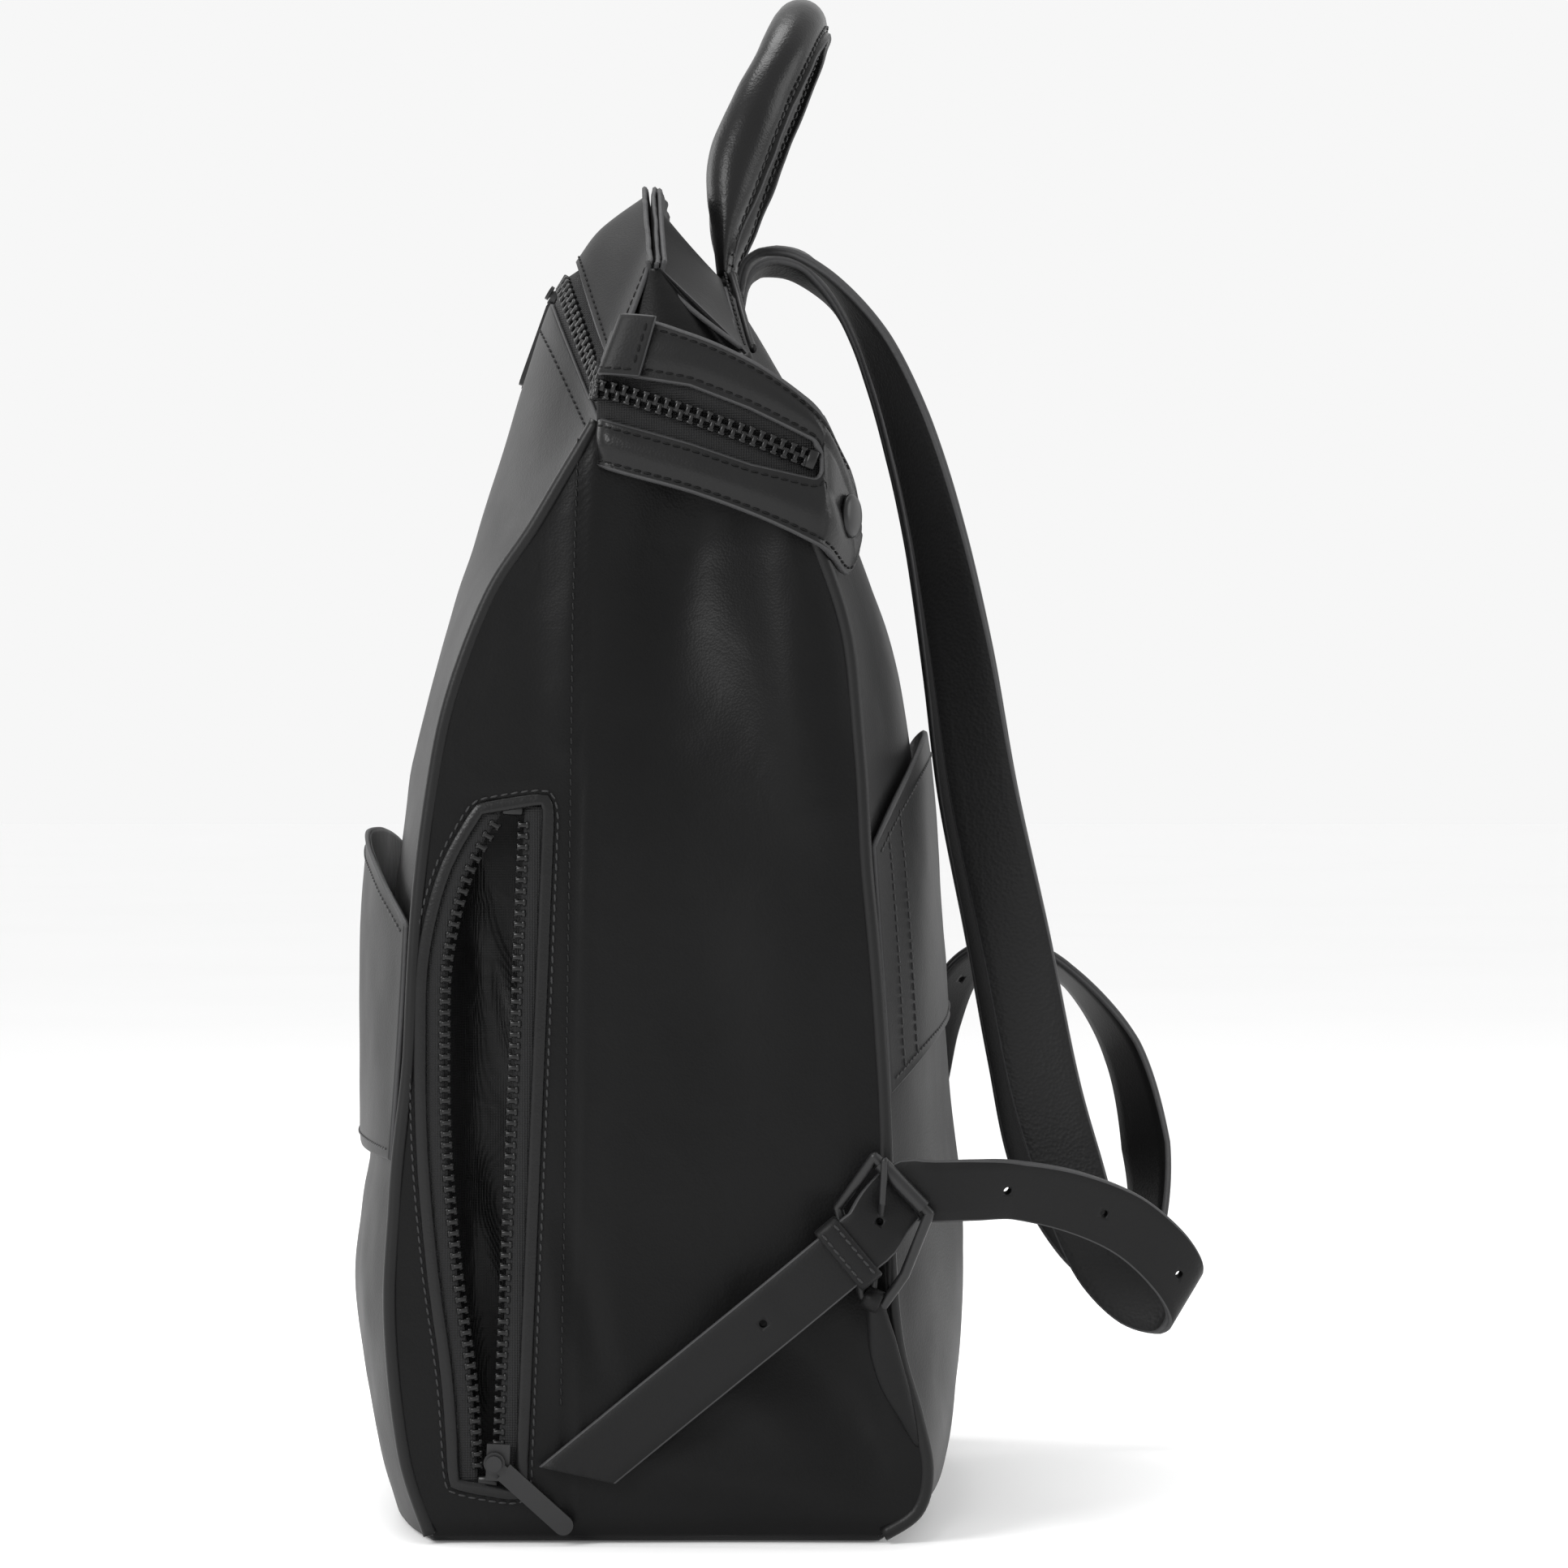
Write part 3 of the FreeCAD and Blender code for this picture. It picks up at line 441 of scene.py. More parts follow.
def sew(pile, path, normals, lift=STITCH_LIFT, pitch=STITCH_PITCH):
    """Row of slightly slanted stitches along a line on a surface with the given normals."""
    path = np.asarray(path, float)
    both = np.concatenate([path, np.broadcast_to(np.asarray(normals, float), path.shape)], 1)
    both = straight(both, pitch)
    middle = (both[1:] + both[:-1]) / 2
    ahead = unit(both[1:, :3] - both[:-1, :3])
    out = unit(middle[:, 3:])
    out = unit(out - ahead * (out * ahead).sum(1, keepdims=True))
    slant = unit(ahead + np.cross(out, ahead) * 0.10)
    stamp(pile, STITCH, middle[:, :3] + out * lift, slant, np.cross(out, slant), out)


def stitch(name, grid, normals, rows=(), cols=(), margins=(2, 2), mat=THREAD, body="bag"):
    """Stitches along a grid's rows and columns, which stop short of its border by the margins."""
    threads = Pile()
    in_row, in_col = (slice(m, -m) for m in margins)
    for line in [(row, in_row) for row in rows] + [(in_col, col) for col in cols]:
        sew(threads, grid[line], normals[line])
    threads.add(name, [mat], body, "leather")


def leather_panel(name, grid, facing, nodes=(), thick=LEATHER_THICK, body="bag"):
    """Lined leather sheet; returns the piece and the grid's normals."""
    normals = grid_normals(grid, facing)
    return sheet(grid, thick, normals).add(name, LINED, body, "leather", nodes), normals


# ------------------------------------------------------------------ the bag's own profiles, as in the CAD
FRONT_ROWS = [
    ((-74.5, 1.9), (-91.0, 1.9)), ((-82.0, 26.0), (-98.0, 26.0)), ((-86.2, 65.0), (-104.6, 68.0)),
    ((-85.0, 102.0), (-101.8, 100.0)), ((-80.7, 146.0), (-96.0, 150.0)), ((-77.8, 195.0), (-91.0, 198.0)),
    ((-70.5, 245.0), (-82.3, 245.0)), ((-57.5, 283.0), (-71.5, 288.0)), ((-42.0, 307.0), (-60.0, 322.0)),
    ((-24.5, 337.0), (-41.0, 378.0))]
BACK_ROWS = [
    ((62.0, 1.9), (71.0, 1.9)), ((72.2, 9.5), (79.6, 9.0)), ((75.2, 22.0), (83.6, 21.0)),
    ((72.0, 38.0), (87.0, 40.0)),
    ((66.0, 60.0), (89.4, 62.0)), ((63.3, 92.0), (89.0, 94.0)), ((62.4, 125.0), (85.4, 126.0)),
    ((60.0, 165.0), (81.5, 165.0)), ((57.0, 200.0), (77.0, 202.0)), ((54.6, 238.0), (71.3, 242.0)),
    ((51.0, 272.0), (64.8, 274.0)), ((42.8, 298.0), (54.0, 306.0)), ((31.0, 327.0), (36.5, 345.0)),
    ((20.0, 357.0), (14.0, 383.5))]
POCKET_ROWS = [
    ((-86.4, 115.0), (-101.9, 116.0)), ((-84.6, 140.0), (-102.4, 148.0)),
    ((-83.0, 163.0), (-101.8, 182.0)), ((-81.9, 185.0), (-100.6, 214.0))]
SLEEVE_ROWS = [
    ((63.8, 135.0), (84.8, 155.0)), ((62.4, 160.0), (83.4, 178.0)),
    ((60.6, 185.0), (81.3, 206.0)), ((59.0, 209.0), (77.4, 245.0))]
YOKE_ROWS = [((-7.0, 383.0), (-7.6, 409.0)), ((6.0, 371.0), (2.5, 397.0)), ((19.5, 360.5), (12.2, 386.2))]
SEAM_FACING_ROWS = [   # inside strip that backs the seam between yoke and back panel
    ((11.0, 364.0), (4.9, 389.0)), ((16.6, 356.6), (10.8, 382.6)), ((20.0, 347.5), (17.0, 372.5))]
LID_ROWS = [
    ((-21.0, 355.0), (-33.0, 391.0)), ((-15.5, 369.0), (-25.0, 402.0)), ((-9.8, 385.4), (-11.9, 412.4))]


def bulge(f):
    return 1.0 - np.abs(f) ** 3


def arch(f):
    f = np.abs(np.asarray(f, float))
    ease = np.cos(np.clip((f - FLAT_SHARE) / (1 - FLAT_SHARE), 0, 1) * math.pi / 2) ** 2
    return np.where(f <= FLAT_SHARE, 1.0, ease)


def panel_grid(rows, us, vs, low=None, halves=None):
    """Outer points of a panel across the bag: us are shares of the half width, vs count rows.

    Its lines bulge up to the height low and arch from there to its top: always where low is None,
    never where it is negative. halves gives each row its own half width."""
    table = np.array([(*edge, *mid) for edge, mid in rows])
    if halves is not None:
        table = np.column_stack([table, halves])
    lines = smooth(table, vs)
    f = np.asarray(us, float)
    out = np.zeros((len(lines), len(f), 3))
    top = rows[-1][0][1]
    for r, line in enumerate(lines):
        if low is None or low < 0:
            arched = 1.0 if low is None else 0.0
        else:
            arched = max(0.0, (line[1] - low) / (top - low))
        share = (1 - arched) * bulge(f) + arched * arch(f)
        out[r, :, 0] = f * (line[4] if halves is not None else HALF_WIDTH)
        out[r, :, 1] = line[0] + (line[2] - line[0]) * share
        out[r, :, 2] = line[1] + (line[3] - line[1]) * share
    return out


def with_edges(count, edge=0.012):
    """-1..1 with one more column close to each end."""
    inner = np.linspace(-1 + 2 * edge, 1 - 2 * edge, count)
    return np.concatenate([[-1, -1 + edge], inner, [1 - edge, 1]])


def rows_with_edges(top, count, edge=0.02):
    return np.concatenate([[0, edge], np.linspace(2 * edge, top - 2 * edge, count), [top - edge, top]])


def edge_fade(grid, width=9.0):
    """0 at a grid's border growing to 1 inside."""
    rows, cols, _ = grid.shape
    across = np.linspace(0, 1, cols)
    up = np.linspace(0, 1, rows)
    size_a = np.linalg.norm(grid[rows // 2, -1] - grid[rows // 2, 0])
    size_u = np.linalg.norm(grid[-1, cols // 2] - grid[0, cols // 2])
    a = np.minimum(across, 1 - across) * size_a / width
    u = np.minimum(up, 1 - up) * size_u / width
    return np.clip(np.minimum(a[None, :], u[:, None]), 0, 1)


def soften(grid, facing, amount, scale, seed, extra=None):
    """Wrinkles: the grid moved along its normals by noise, less at its border."""
    n = grid_normals(grid, facing)
    fine = noise(grid, scale * 0.3, seed + 1) * amount * 0.22
    move = (noise(grid, scale, seed) * amount + fine) * edge_fade(grid)
    if extra is not None:
        move = move + extra(grid)
    return grid + n * move[..., None]


# ------------------------------------------------------------------ front, back and base of the bag
def front_folds(p):
    """Soft sags across the front panel, each at its height and of its depth."""
    dip = np.zeros(p.shape[:2])
    for z, depth in ((112, 2.2), (300, 1.2), (232, -0.9)):
        dip -= depth * np.exp(-((p[..., 2] - z) / 9.0) ** 2) * np.clip(1 - np.abs(p[..., 0]) / 150, 0, 1)
    return dip * edge_fade(p, 14)


def pocket_lip(p):
    """The pocket's top edge stands off unevenly."""
    up = np.linspace(0, 1, p.shape[0])[:, None]
    return (up ** 3) * (0.6 + 0.8 * noise(p, 46.0, 9)) * edge_fade(p, 1.0)


def front_panels():
    front = panel_grid(FRONT_ROWS, with_edges(84), rows_with_edges(9, 110), low=ARCH_FROM)
    front = soften(front, FORWARD, 1.1, 42.0, 1, front_folds)
    _, n = leather_panel("bag_front", front, FORWARD, ("front_panel",))
    stitch("stitch_mouth_border", front, n, rows=(-5,), mat=DARK_THREAD)

    pocket = panel_grid(POCKET_ROWS, with_edges(70), rows_with_edges(3, 46), low=-1) - arr(0, 0.4, 0)
    pocket = soften(pocket, FORWARD, 0.8, 40.0, 8, pocket_lip)
    _, n = leather_panel("front_pocket_sheet", pocket, FORWARD, ("front_pocket",), POCKET_THICK)
    stitch("stitch_front_pocket", pocket, n, rows=(-6, 4))


def back_panels():
    back = panel_grid(BACK_ROWS, with_edges(84), rows_with_edges(13, 124), low=ARCH_FROM)
    back = soften(back, REARWARD, 1.1, 48.0, 5)
    pad, _ = leather_panel("bag_back", back, REARWARD, ("back_panel", "back_foam"))

    sleeve = panel_grid(SLEEVE_ROWS, with_edges(70), rows_with_edges(3, 46), low=-1) + arr(0, 0.6, 0)
    sleeve = soften(sleeve, REARWARD, 0.6, 36.0, 12)
    _, n = leather_panel("back_sleeve", sleeve, REARWARD, ("luggage_sleeve",), POCKET_THICK)
    stitch("stitch_back_sleeve", sleeve, n, rows=(-6, 4), cols=(4, 7, -5, -8), margins=(2, 4))


def base():
    """Bottom panel turned up a little at its border."""
    us = with_edges(60, 0.02)
    front, back = (panel_grid(rows, us, [0.0], low=-1)[0] for rows in (FRONT_ROWS, BACK_ROWS))
    shares = np.concatenate([[0, 0.006], np.linspace(0.014, 0.986, 40), [0.994, 1]])
    grid = across(front, back, shares)
    rim = np.minimum(np.minimum(shares, 1 - shares)[:, None] * 165, ((1 - np.abs(us)) * 137)[None])
    grid[..., 2] = 0.05 + 1.9 * np.clip(1 - rim / 2.4, 0, 1) ** 2
    up = np.broadcast_to(arr(0, 0, 1), grid.shape)
    sheet(grid, -1.5, up).add("bag_base", LINED, "bag", "leather", ("base_panel",))
    stitch("stitch_base", grid, -up, rows=(4, -5), margins=(3, 3))


# ------------------------------------------------------------------ gussets
# edges of the side zip's opening as (height, place from front to back)
REAR_ROW = ((20.0, -55.5), (219.0, -47.5))
FRONT_ROW = ((20.0, -58.5), (49.0, -60.5), (83.0, -65.0), (118.0, -68.0), (150.0, -68.6),
             (176.0, -67.6), (201.0, -61.5), (219.0, -51.6))
SEAM = ((2, -33.5), (107, -31.7), (278, -29.2), (337, -27.5))   # the gusset's upright seam
SLOT_LOW, SLOT_HIGH, SLOT_OUT = 16.0, 222.5, 7.4
GUSSET_TOP, TIP_TOP = 336, 356
GUSSET_FOLDS = (   # start and end (y, z), width, height
    ((2, 322), (-6, 250), 17, -5.5), ((-27, 322), (-33, 240), 7.0, 2.8), ((26, 304), (40, 222), 10, 3.4),
    ((46, 290), (54, 236), 5, -1.6), ((-34, 98), (-24, 52), 5, -2.2), ((-42, 104), (-34, 48), 6, 1.8),
    ((22, 72), (62, 30), 12, -4.2), ((60, 62), (68, 26), 5, 2.4), ((44, 98), (64, 68), 8, -2.6),
    ((-16, 26), (48, 14), 9, 2.4), ((10, 52), (40, 26), 8, 1.6), ((62, 150), (44, 112), 10, 1.4),
    ((0, 214), (8, 110), 22, -1.8), ((30, 190), (36, 110), 14, 1.4))


def profile(rows, z):
    edge = smooth([e for e, _ in rows], np.linspace(0, len(rows) - 1, 240))
    return np.interp(z, edge[:, 1], edge[:, 0])


def rear_y(z):
    return look_up(REAR_ROW, z)


def front_y(z):
    return look_up(smooth(FRONT_ROW, np.linspace(0, len(FRONT_ROW) - 1, 120)), z)


def gusset_hollow(share, z):
    upper = 9.0 * np.clip((z - 190) / 110.0, 0, 1)
    lower = 7.0 * np.exp(-((z - 62) / 45.0) ** 2) * np.clip(share - 0.45, 0, None) * 2
    return upper * np.sin(math.pi * np.clip((share - 0.22) / 0.78, 0, 1)) ** 2 + lower * (1 - share) * 3


def gusset_levels():
    return np.concatenate([[1.9, 2.6], np.linspace(4, SLOT_LOW, 8), np.linspace(SLOT_LOW, SLOT_HIGH, 84)[1:],
                           np.linspace(SLOT_HIGH, 337, 50)[1:], [341, 346, 351, 356]])


def gusset_columns(levels):
    """Columns from the front edge to the rear one, the slot's border, and the two edges."""
    y0, y1 = profile(FRONT_ROWS, levels) + 1.0, profile(BACK_ROWS, levels) - 1.0
    tip = (GUSSET_TOP, TIP_TOP)
    y0 = np.where(levels > GUSSET_TOP, np.interp(levels, tip, [-23.5, -12.5]), y0)
    y1 = np.where(levels > GUSSET_TOP, np.interp(levels, tip, [y1[levels <= GUSSET_TOP][-1], 19.5]), y1)
    ya = np.clip(front_y(levels) - SLOT_OUT, y0 + 2.5, None)
    yb = rear_y(levels) + SLOT_OUT
    high = np.clip((levels - SLOT_HIGH) / 100, 0, 1)
    ya = ya * (1 - high) + (y0 + (y1 - y0) * 0.22) * high
    yb = yb * (1 - high) + (y0 + (y1 - y0) * 0.34) * high
    cols = [y0 + (ya - y0) * s for s in (0, 0.08, *np.linspace(0.16, 1, 9))]
    cols += [ya + (yb - ya) * s for s in np.linspace(0, 1, 9)[1:]]
    cols += [yb + (y1 - yb) * s for s in (*np.linspace(0, 1, 58)[1:-1], 0.992, 1.0)]
    return np.stack(cols, 1), y0, y1, yb


def gusset_grid(levels, sign):
    y, y0, y1, yb = gusset_columns(levels)
    z = np.broadcast_to(levels[:, None], y.shape)
    share = (y - y0[:, None]) / (y1 - y0)[:, None]
    x = GUSSET_X - gusset_hollow(share, z)
    x = np.where(z > 337, np.interp(z, [337, TIP_TOP], [130.5, 128.9]), x)
    x = x - 3.0 * np.clip(1 - z / 9.0, 0, 1) ** 2
    grid = np.stack([x, y, z], -1)
    move = np.zeros(y.shape)
    for a, b, width, depth in GUSSET_FOLDS:
        move += crease(grid, a, b, width, depth)
    move += noise(grid, 34.0, 20 + sign) * 0.8 + noise(grid, 11.0, 23) * 0.14
    seam_gap = y - look_up(SEAM, z)
    move -= 0.9 * np.exp(-(seam_gap / 0.9) ** 2) * (z < GUSSET_TOP)
    move += 0.35 * np.exp(-((seam_gap - 2.2) / 1.6) ** 2) * (z < GUSSET_TOP)
    move *= np.clip(np.minimum(share, 1 - share) * 12, 0, 1) * np.clip((346 - z) / 14, 0, 1)
    if sign > 0:   # calm beside the zip's slot
        move *= np.where((z > 12) & (z < 227), np.clip((y - yb[:, None] - 3.6) / 6, 0, 1), 1.0)
    grid[..., 0] += move
    return grid


def gusset(side, sign):
    """Side of the bag with its upright seam; the right one has the zip's slot."""
    levels = gusset_levels()
    grid = gusset_grid(levels, sign)
    n = grid_normals(grid, RIGHTWARD)
    hole = None
    if sign > 0:
        mid_z = (levels[1:] + levels[:-1]) / 2
        hole = np.zeros((grid.shape[0] - 1, grid.shape[1] - 1), bool)
        hole[np.ix_((mid_z > SLOT_LOW) & (mid_z < SLOT_HIGH), range(10, 18))] = True
    pile = sheet(grid, LEATHER_THICK, n, hole)
    threads = Pile()
    path, out = [], []
    for z in np.linspace(40, 333, 150):
        r = int(round(np.interp(z, levels, np.arange(len(levels)))))
        y = look_up(SEAM, z) - 2.2
        path.append((np.interp(y, grid[r, :, 1], grid[r, :, 0]), y, levels[r]))
        out.append(n[r, int(np.argmin(np.abs(grid[r, :, 1] - y)))])
    sew(threads, path, out, 0.06)
    if sign < 0:
        pile, threads = pile.mirror(), threads.mirror()
    # the side takes the darker copy of the leather, which is painted shade
    pile.add("bag_side_%s" % side, (SHADED_SIDE_LEATHER, CLOTH, EDGE), "bag", "leather", ("gusset_%s" % side,))
    threads.add("stitch_side_%s" % side, [PIPING], "bag", "leather")


def piping():
    for node, rows, out in (("front", FRONT_ROWS, -1.0), ("back", BACK_ROWS, 1.0)):
        spots = even([(HALF_WIDTH + 1.4, e[0], max(e[1], 2.4)) for e, _ in rows], 2.0)
        wave = noise(spots, 22.0, 31) * 0.35
        path = spots + np.stack([wave, wave * 0.6 * out, 0 * wave], 1)
        pile = tube(path, 2.15, REARWARD, 18)
        pile.join(tube(path + arr(-1.4, -out * 1.9, 0), 0.9, REARWARD, 8))
        pile.join(pile.mirror()).add(
            "piping_%s_cord" % node, [PIPING], "bag", "piping_leather", ("piping_%s" % node,))


def lining():
    """Cloth bag inside the shell, open at the top."""
    levels = np.concatenate([[5.0, 5.6], np.linspace(9, 322, 46), [325.6, 326.4]])
    y0, y1 = profile(FRONT_ROWS, levels) + 6, profile(BACK_ROWS, levels) - 10
    angle = np.linspace(0, 2 * math.pi, 120, endpoint=False)
    round_c, round_s = (np.sign(v) * np.abs(v) ** 0.25 for v in (np.cos(angle), np.sin(angle)))
    y = ((y0 + y1) / 2)[:, None] + ((y1 - y0) / 2)[:, None] * round_s[None]
    grid = grid_of(113.6 * round_c, y, levels[:, None])
    du = np.roll(grid, -1, 1) - np.roll(grid, 1, 1)
    n = unit(np.cross(du, np.gradient(grid, axis=0)))
    if (n * (grid - grid.mean((0, 1)))).sum() < 0:
        n = -n
    fade = np.clip((326 - levels) / 20, 0, 1)[:, None]
    grid = grid - n * (np.abs(noise(grid, 30, 41)) * 1.6 * fade)[..., None]
    pile = sheet(grid, LINING_THICK, n, closed=True)
    floor_y = y0[1] + (y1[1] - y0[1]) * np.linspace(0.02, 0.98, 30)
    pile.join(sheet(grid_of(np.linspace(-112, 112, 40), floor_y[:, None], 5.4), 0.6, (0, 0, 1)))
    pile.add("lining_bag", [CLOTH] * 3, "bag", "lining_fabric", ("lining",))


# ------------------------------------------------------------------ top of the bag
YOKE_FACING, LID_FACING = (0, 0.6, 0.8), (0, -0.75, 0.66)
RIDGE_HALF, CORD_HALF = 121.6, 126


def yoke():
    rows = rows_with_edges(2, 26, 0.03)
    grid = panel_grid(YOKE_ROWS, with_edges(80), rows, None, (122.0, 126.0, 130.0))
    leather_panel("yoke", soften(grid, YOKE_FACING, 0.5, 30.0, 51), YOKE_FACING, ("back_yoke",))
    facing = panel_grid(SEAM_FACING_ROWS, with_edges(60), rows_with_edges(2, 16, 0.03), None, (118.0,) * 3)
    sheet(facing, 1.0, YOKE_FACING).add("yoke_facing", (CLOTH, CLOTH, EDGE), "bag", "leather")


def lid():
    us = with_edges(80)
    grid = panel_grid(LID_ROWS, us, rows_with_edges(2, 26, 0.03), None, (140.5, 131.0, 122.0))
    grid = soften(grid, LID_FACING, 0.6, 28.0, 55)
    droop = np.clip((np.abs(us) - 0.9) / 0.1, 0, 1)[None]
    grid[..., 2] -= droop ** 2 * np.linspace(1, 0, grid.shape[0])[:, None] * 2.0
    _, n = leather_panel("lid", grid, LID_FACING, ("lid_flap",), body="lid")
    stitch("stitch_lid", grid, n, rows=(4,), cols=(3, -4), mat=DARK_THREAD, body="lid")


def ridge():
    """Raw edges along the ridge, a little frayed and parted."""
    us = np.linspace(-1, 1, 320)
    shares = np.array([0, 0.3, 0.6, 0.85, 1.0])
    grown = shares[:, None] ** 2
    pile = Pile()
    for shift, seed, height, lean_out in ((-0.5, 61, 1.0, -0.5), (1.3, 67, 0.8, 0.2), (3.0, 73, 0.55, 0.9)):
        y = -8.9 - 2.3 * arch(us) + shift
        foot = np.stack([us * RIDGE_HALF, y, 381.5 + 24.0 * arch(us)], 1)
        crest = np.stack([us * RIDGE_HALF, y, 386.6 + 28.2 * arch(us)], 1)
        grid = across(foot, crest, shares)
        fray = noise(crest, 2.6, seed) * 0.7 + noise(crest, 8.0, seed + 1) * 0.8
        grid[..., 2] += grown * fray[None] * height
        grid[..., 1] += grown * (noise(crest, 12.0, seed + 2) * 0.8 + lean_out)[None]
        grid[..., 0] += grown * np.sign(us)[None] * np.clip(np.abs(us) - 0.97, 0, 1)[None] * 60
        pile.join(sheet(grid, 1.5, FORWARD))
    pile.add("ridge", (PANEL, PANEL, EDGE), "bag", "leather", ("ridge_edge",))


def yoke_seam():
    """Cord along the yoke's rear seam, with a row of stitches and two small knots."""
    us = np.linspace(-0.96, 0.96, 240)
    line = np.stack([us * CORD_HALF, 21.6 - 7.0 * arch(us) + 1.2, 358.5 + 27.1 * arch(us) + 1.3], 1)
    line[:, 1:] += noise(line, 12.0, 71)[:, None] * 0.3
    pile = tube(line, (1.5, 1.1), REARWARD, 12)
    knot_radii = np.array([[0.5, 0.5], [1.5, 1.3], [1.8, 1.6], [1.5, 1.3], [0.5, 0.5]]) * 1.2
    for x in (-62.0, 62.0):
        near = line[np.argmin(np.abs(line[:, 0] - x))]
        pile.join(tube(near + np.linspace(-1.5, 1.5, 5)[:, None] * arr(1, 0, 0.2), knot_radii, REARWARD, 10))
    pile.add("yoke_seam_cord", [PIPING], "bag", "leather", ("yoke_seam",))
    threads = Pile()
    sew(threads, line + arr(0, -2.6, 1.1), (0, 0.55, 0.83), 0.15)
    threads.add("stitch_yoke", [DARK_THREAD], "bag", "leather")


def side_gores():
    """Soft triangles that close the sides between the lid and the yoke."""
    count = 40
    edges = []
    for points in (((129.0, -17.5, 349), (128.4, -13.6, 366), (123.2, -8.4, 384.2)),
                   ((128.6, 26.0, 349), (128.2, 20.0, 359.0), (122.6, -5.6, 384.4))):
        line = even(points, 0.8)
        edges.append(line[np.linspace(0, len(line) - 1, count).round().astype(int)])
    shares = np.linspace(0, 1, 30)
    grid = across(*edges, shares).swapaxes(0, 1).copy()
    tall = np.linspace(1, 0, count)[:, None]
    tuck = 3.0 * np.exp(-((shares - 0.86) / 0.07) ** 2)
    swell = np.sin(math.pi * np.clip(shares / 0.78, 0, 1)) * 4.2 - tuck
    grid[..., 0] += swell[None] * tall ** 0.7 + noise(grid, 12, 121) * 0.4 * tall
    half = sheet(grid, 1.1, RIGHTWARD)
    # the gores take the darker copy of the leather, which is painted shade
    half.join(half.mirror()).add("side_gores", (SHADED_SIDE_LEATHER, CLOTH, EDGE), "bag", "leather", ("gores",))


# ------------------------------------------------------------------ zips
def tooth_shape(length=3.4, pitch=TOOTH_PITCH, thick=2.6):
    """One moulded tooth: x along the chain, y towards the other row, z through the tape."""
    pile = Pile()
    for wide, long, tall, cut, place in ((0.44, 1.0, 1.0, 0.28, 0), (0.70, 0.36, 0.74, 0.30, 0.36),
                                         (0.66, 0.34, 1.02, 0.30, -0.36)):
        verts, faces = chamfered((pitch * wide, length * long, thick * tall), cut)
        pile.put(verts + arr(0, length * place, 0), faces)
    return pile.verts, pile.faces


TOOTH = tooth_shape()
CORNER_X = 120   # beyond this the mouth's teeth turn down the front corners


def mouth_zip():
    """Front edge, lid edge and middle of the mouth's zip, carried round the front corners."""
    xs = np.linspace(-126, 126, 127)
    share = arch(xs / HALF_WIDTH)
    front = np.stack([xs, -24.5 - 16.5 * share, 337 + 41 * share], 1)
    flap = np.stack([xs, -21.0 - 12.0 * share, 355 + 36 * share], 1)
    up = unit(flap - front)
    middle = (front + flap) / 2
    out = np.stack([0 * up[:, 0], -up[:, 2], up[:, 1]], 1)
    for name, body, start, end in (
            ("mouth_tape_front", "bag", front - up * 2 - out * 2.2, middle - up * 1.8 + out * 0.2),
            ("mouth_tape_lid", "lid", middle + up * 1.5 + out * 0.2, flap - up * 1.0 - out * 2.2)):
        pile = sheet(across(start, end, np.linspace(0, 1, 12)), TAPE_THICK, out.mean(0))
        pile.add("%s_cloth" % name, [TAPE] * 3, body, "zip_tape", (name,))
    corner = arr(138.3, -24.2, 346.3), arr(132, -25.2, 346.4)
    path = np.concatenate([[c * arr(-1, 1, 1) for c in corner], middle[::6], corner[::-1]])
    frames = even(path, TOOTH_PITCH)
    ahead = unit(np.gradient(frames, axis=0))
    ups = np.stack([np.interp(frames[:, 0], middle[:, 0], up[:, k]) for k in range(3)], 1)
    outs = unit(np.cross(ups, ahead))
    outs = outs * np.where((outs[:, 1] > 0) & (np.abs(frames[:, 0]) < CORNER_X), -1, 1)[:, None]
    ups = unit(np.cross(outs, ahead))
    ups = ups * np.sign(ups[:, 2])[:, None]
    for name, body, sign, shift in (("mouth_teeth_front", "bag", 1, 0), ("mouth_teeth_lid", "lid", -1, 0.5)):
        pile = Pile()
        centres = frames - ups * (1.1 * sign) + ahead * (TOOTH_PITCH * shift)
        stamp(pile, TOOTH, centres, ahead, ups * sign, outs)
        pile.add("%s_row" % name, [TEETH], body, "zip_plastic", (name,))


ZIP_ROWS = ((1, rear_y), (-1, front_y))


def side_chain():
    x = GUSSET_X - 1.0
    z = np.linspace(18, 221, 90)
    shares = np.linspace(0, 1, 7)[:, None]
    tapes = Pile()
    for sign, line in ZIP_ROWS:
        grid = grid_of(x + 0.4 + 0.5 * np.sin(shares * math.pi), line(z) + sign * (1.6 + 5.9 * shares), z)
        tapes.join(sheet(grid, TAPE_THICK, RIGHTWARD))
    tapes.add("side_tapes", [TAPE] * 3, "bag", "zip_tape", ("side_zip_tapes",))

    teeth = Pile()
    low, run = REAR_ROW[0][0], REAR_ROW[1][0] - REAR_ROW[0][0]
    count = int(run / TOOTH_PITCH)
    zs = low + np.arange(1, count) * run / count
    for sign, line in ZIP_ROWS:
        lean = unit(np.stack([0 * zs, line(zs + 1) - line(zs - 1), 2 + 0 * zs], 1))
        out = np.broadcast_to(arr(1, 0, 0), lean.shape)
        centres = np.stack([x + 0 * zs, line(zs) + sign * 1.3, zs], 1)
        stamp(teeth, TOOTH, centres, lean, np.cross(out, lean) * sign, out)
    teeth.add("side_teeth", [TEETH], "bag", "zip_plastic", ("side_zip_teeth",))

    stops = Pile()
    for y, height, tall in ((-57.0, 18.4, 3.4), (-49.5, 220.4, 3.6)):
        stamp(stops, chamfered((tall, 6.4, 3.4), 0.6), [arr(x, y, height)], [arr(0, 0.05, 1)],
              [arr(0, 1, -0.05)], [arr(-1, 0, 0)])
    stops.add("side_stops", [TEETH], "bag", "zip_plastic", ("side_zip_stops",))


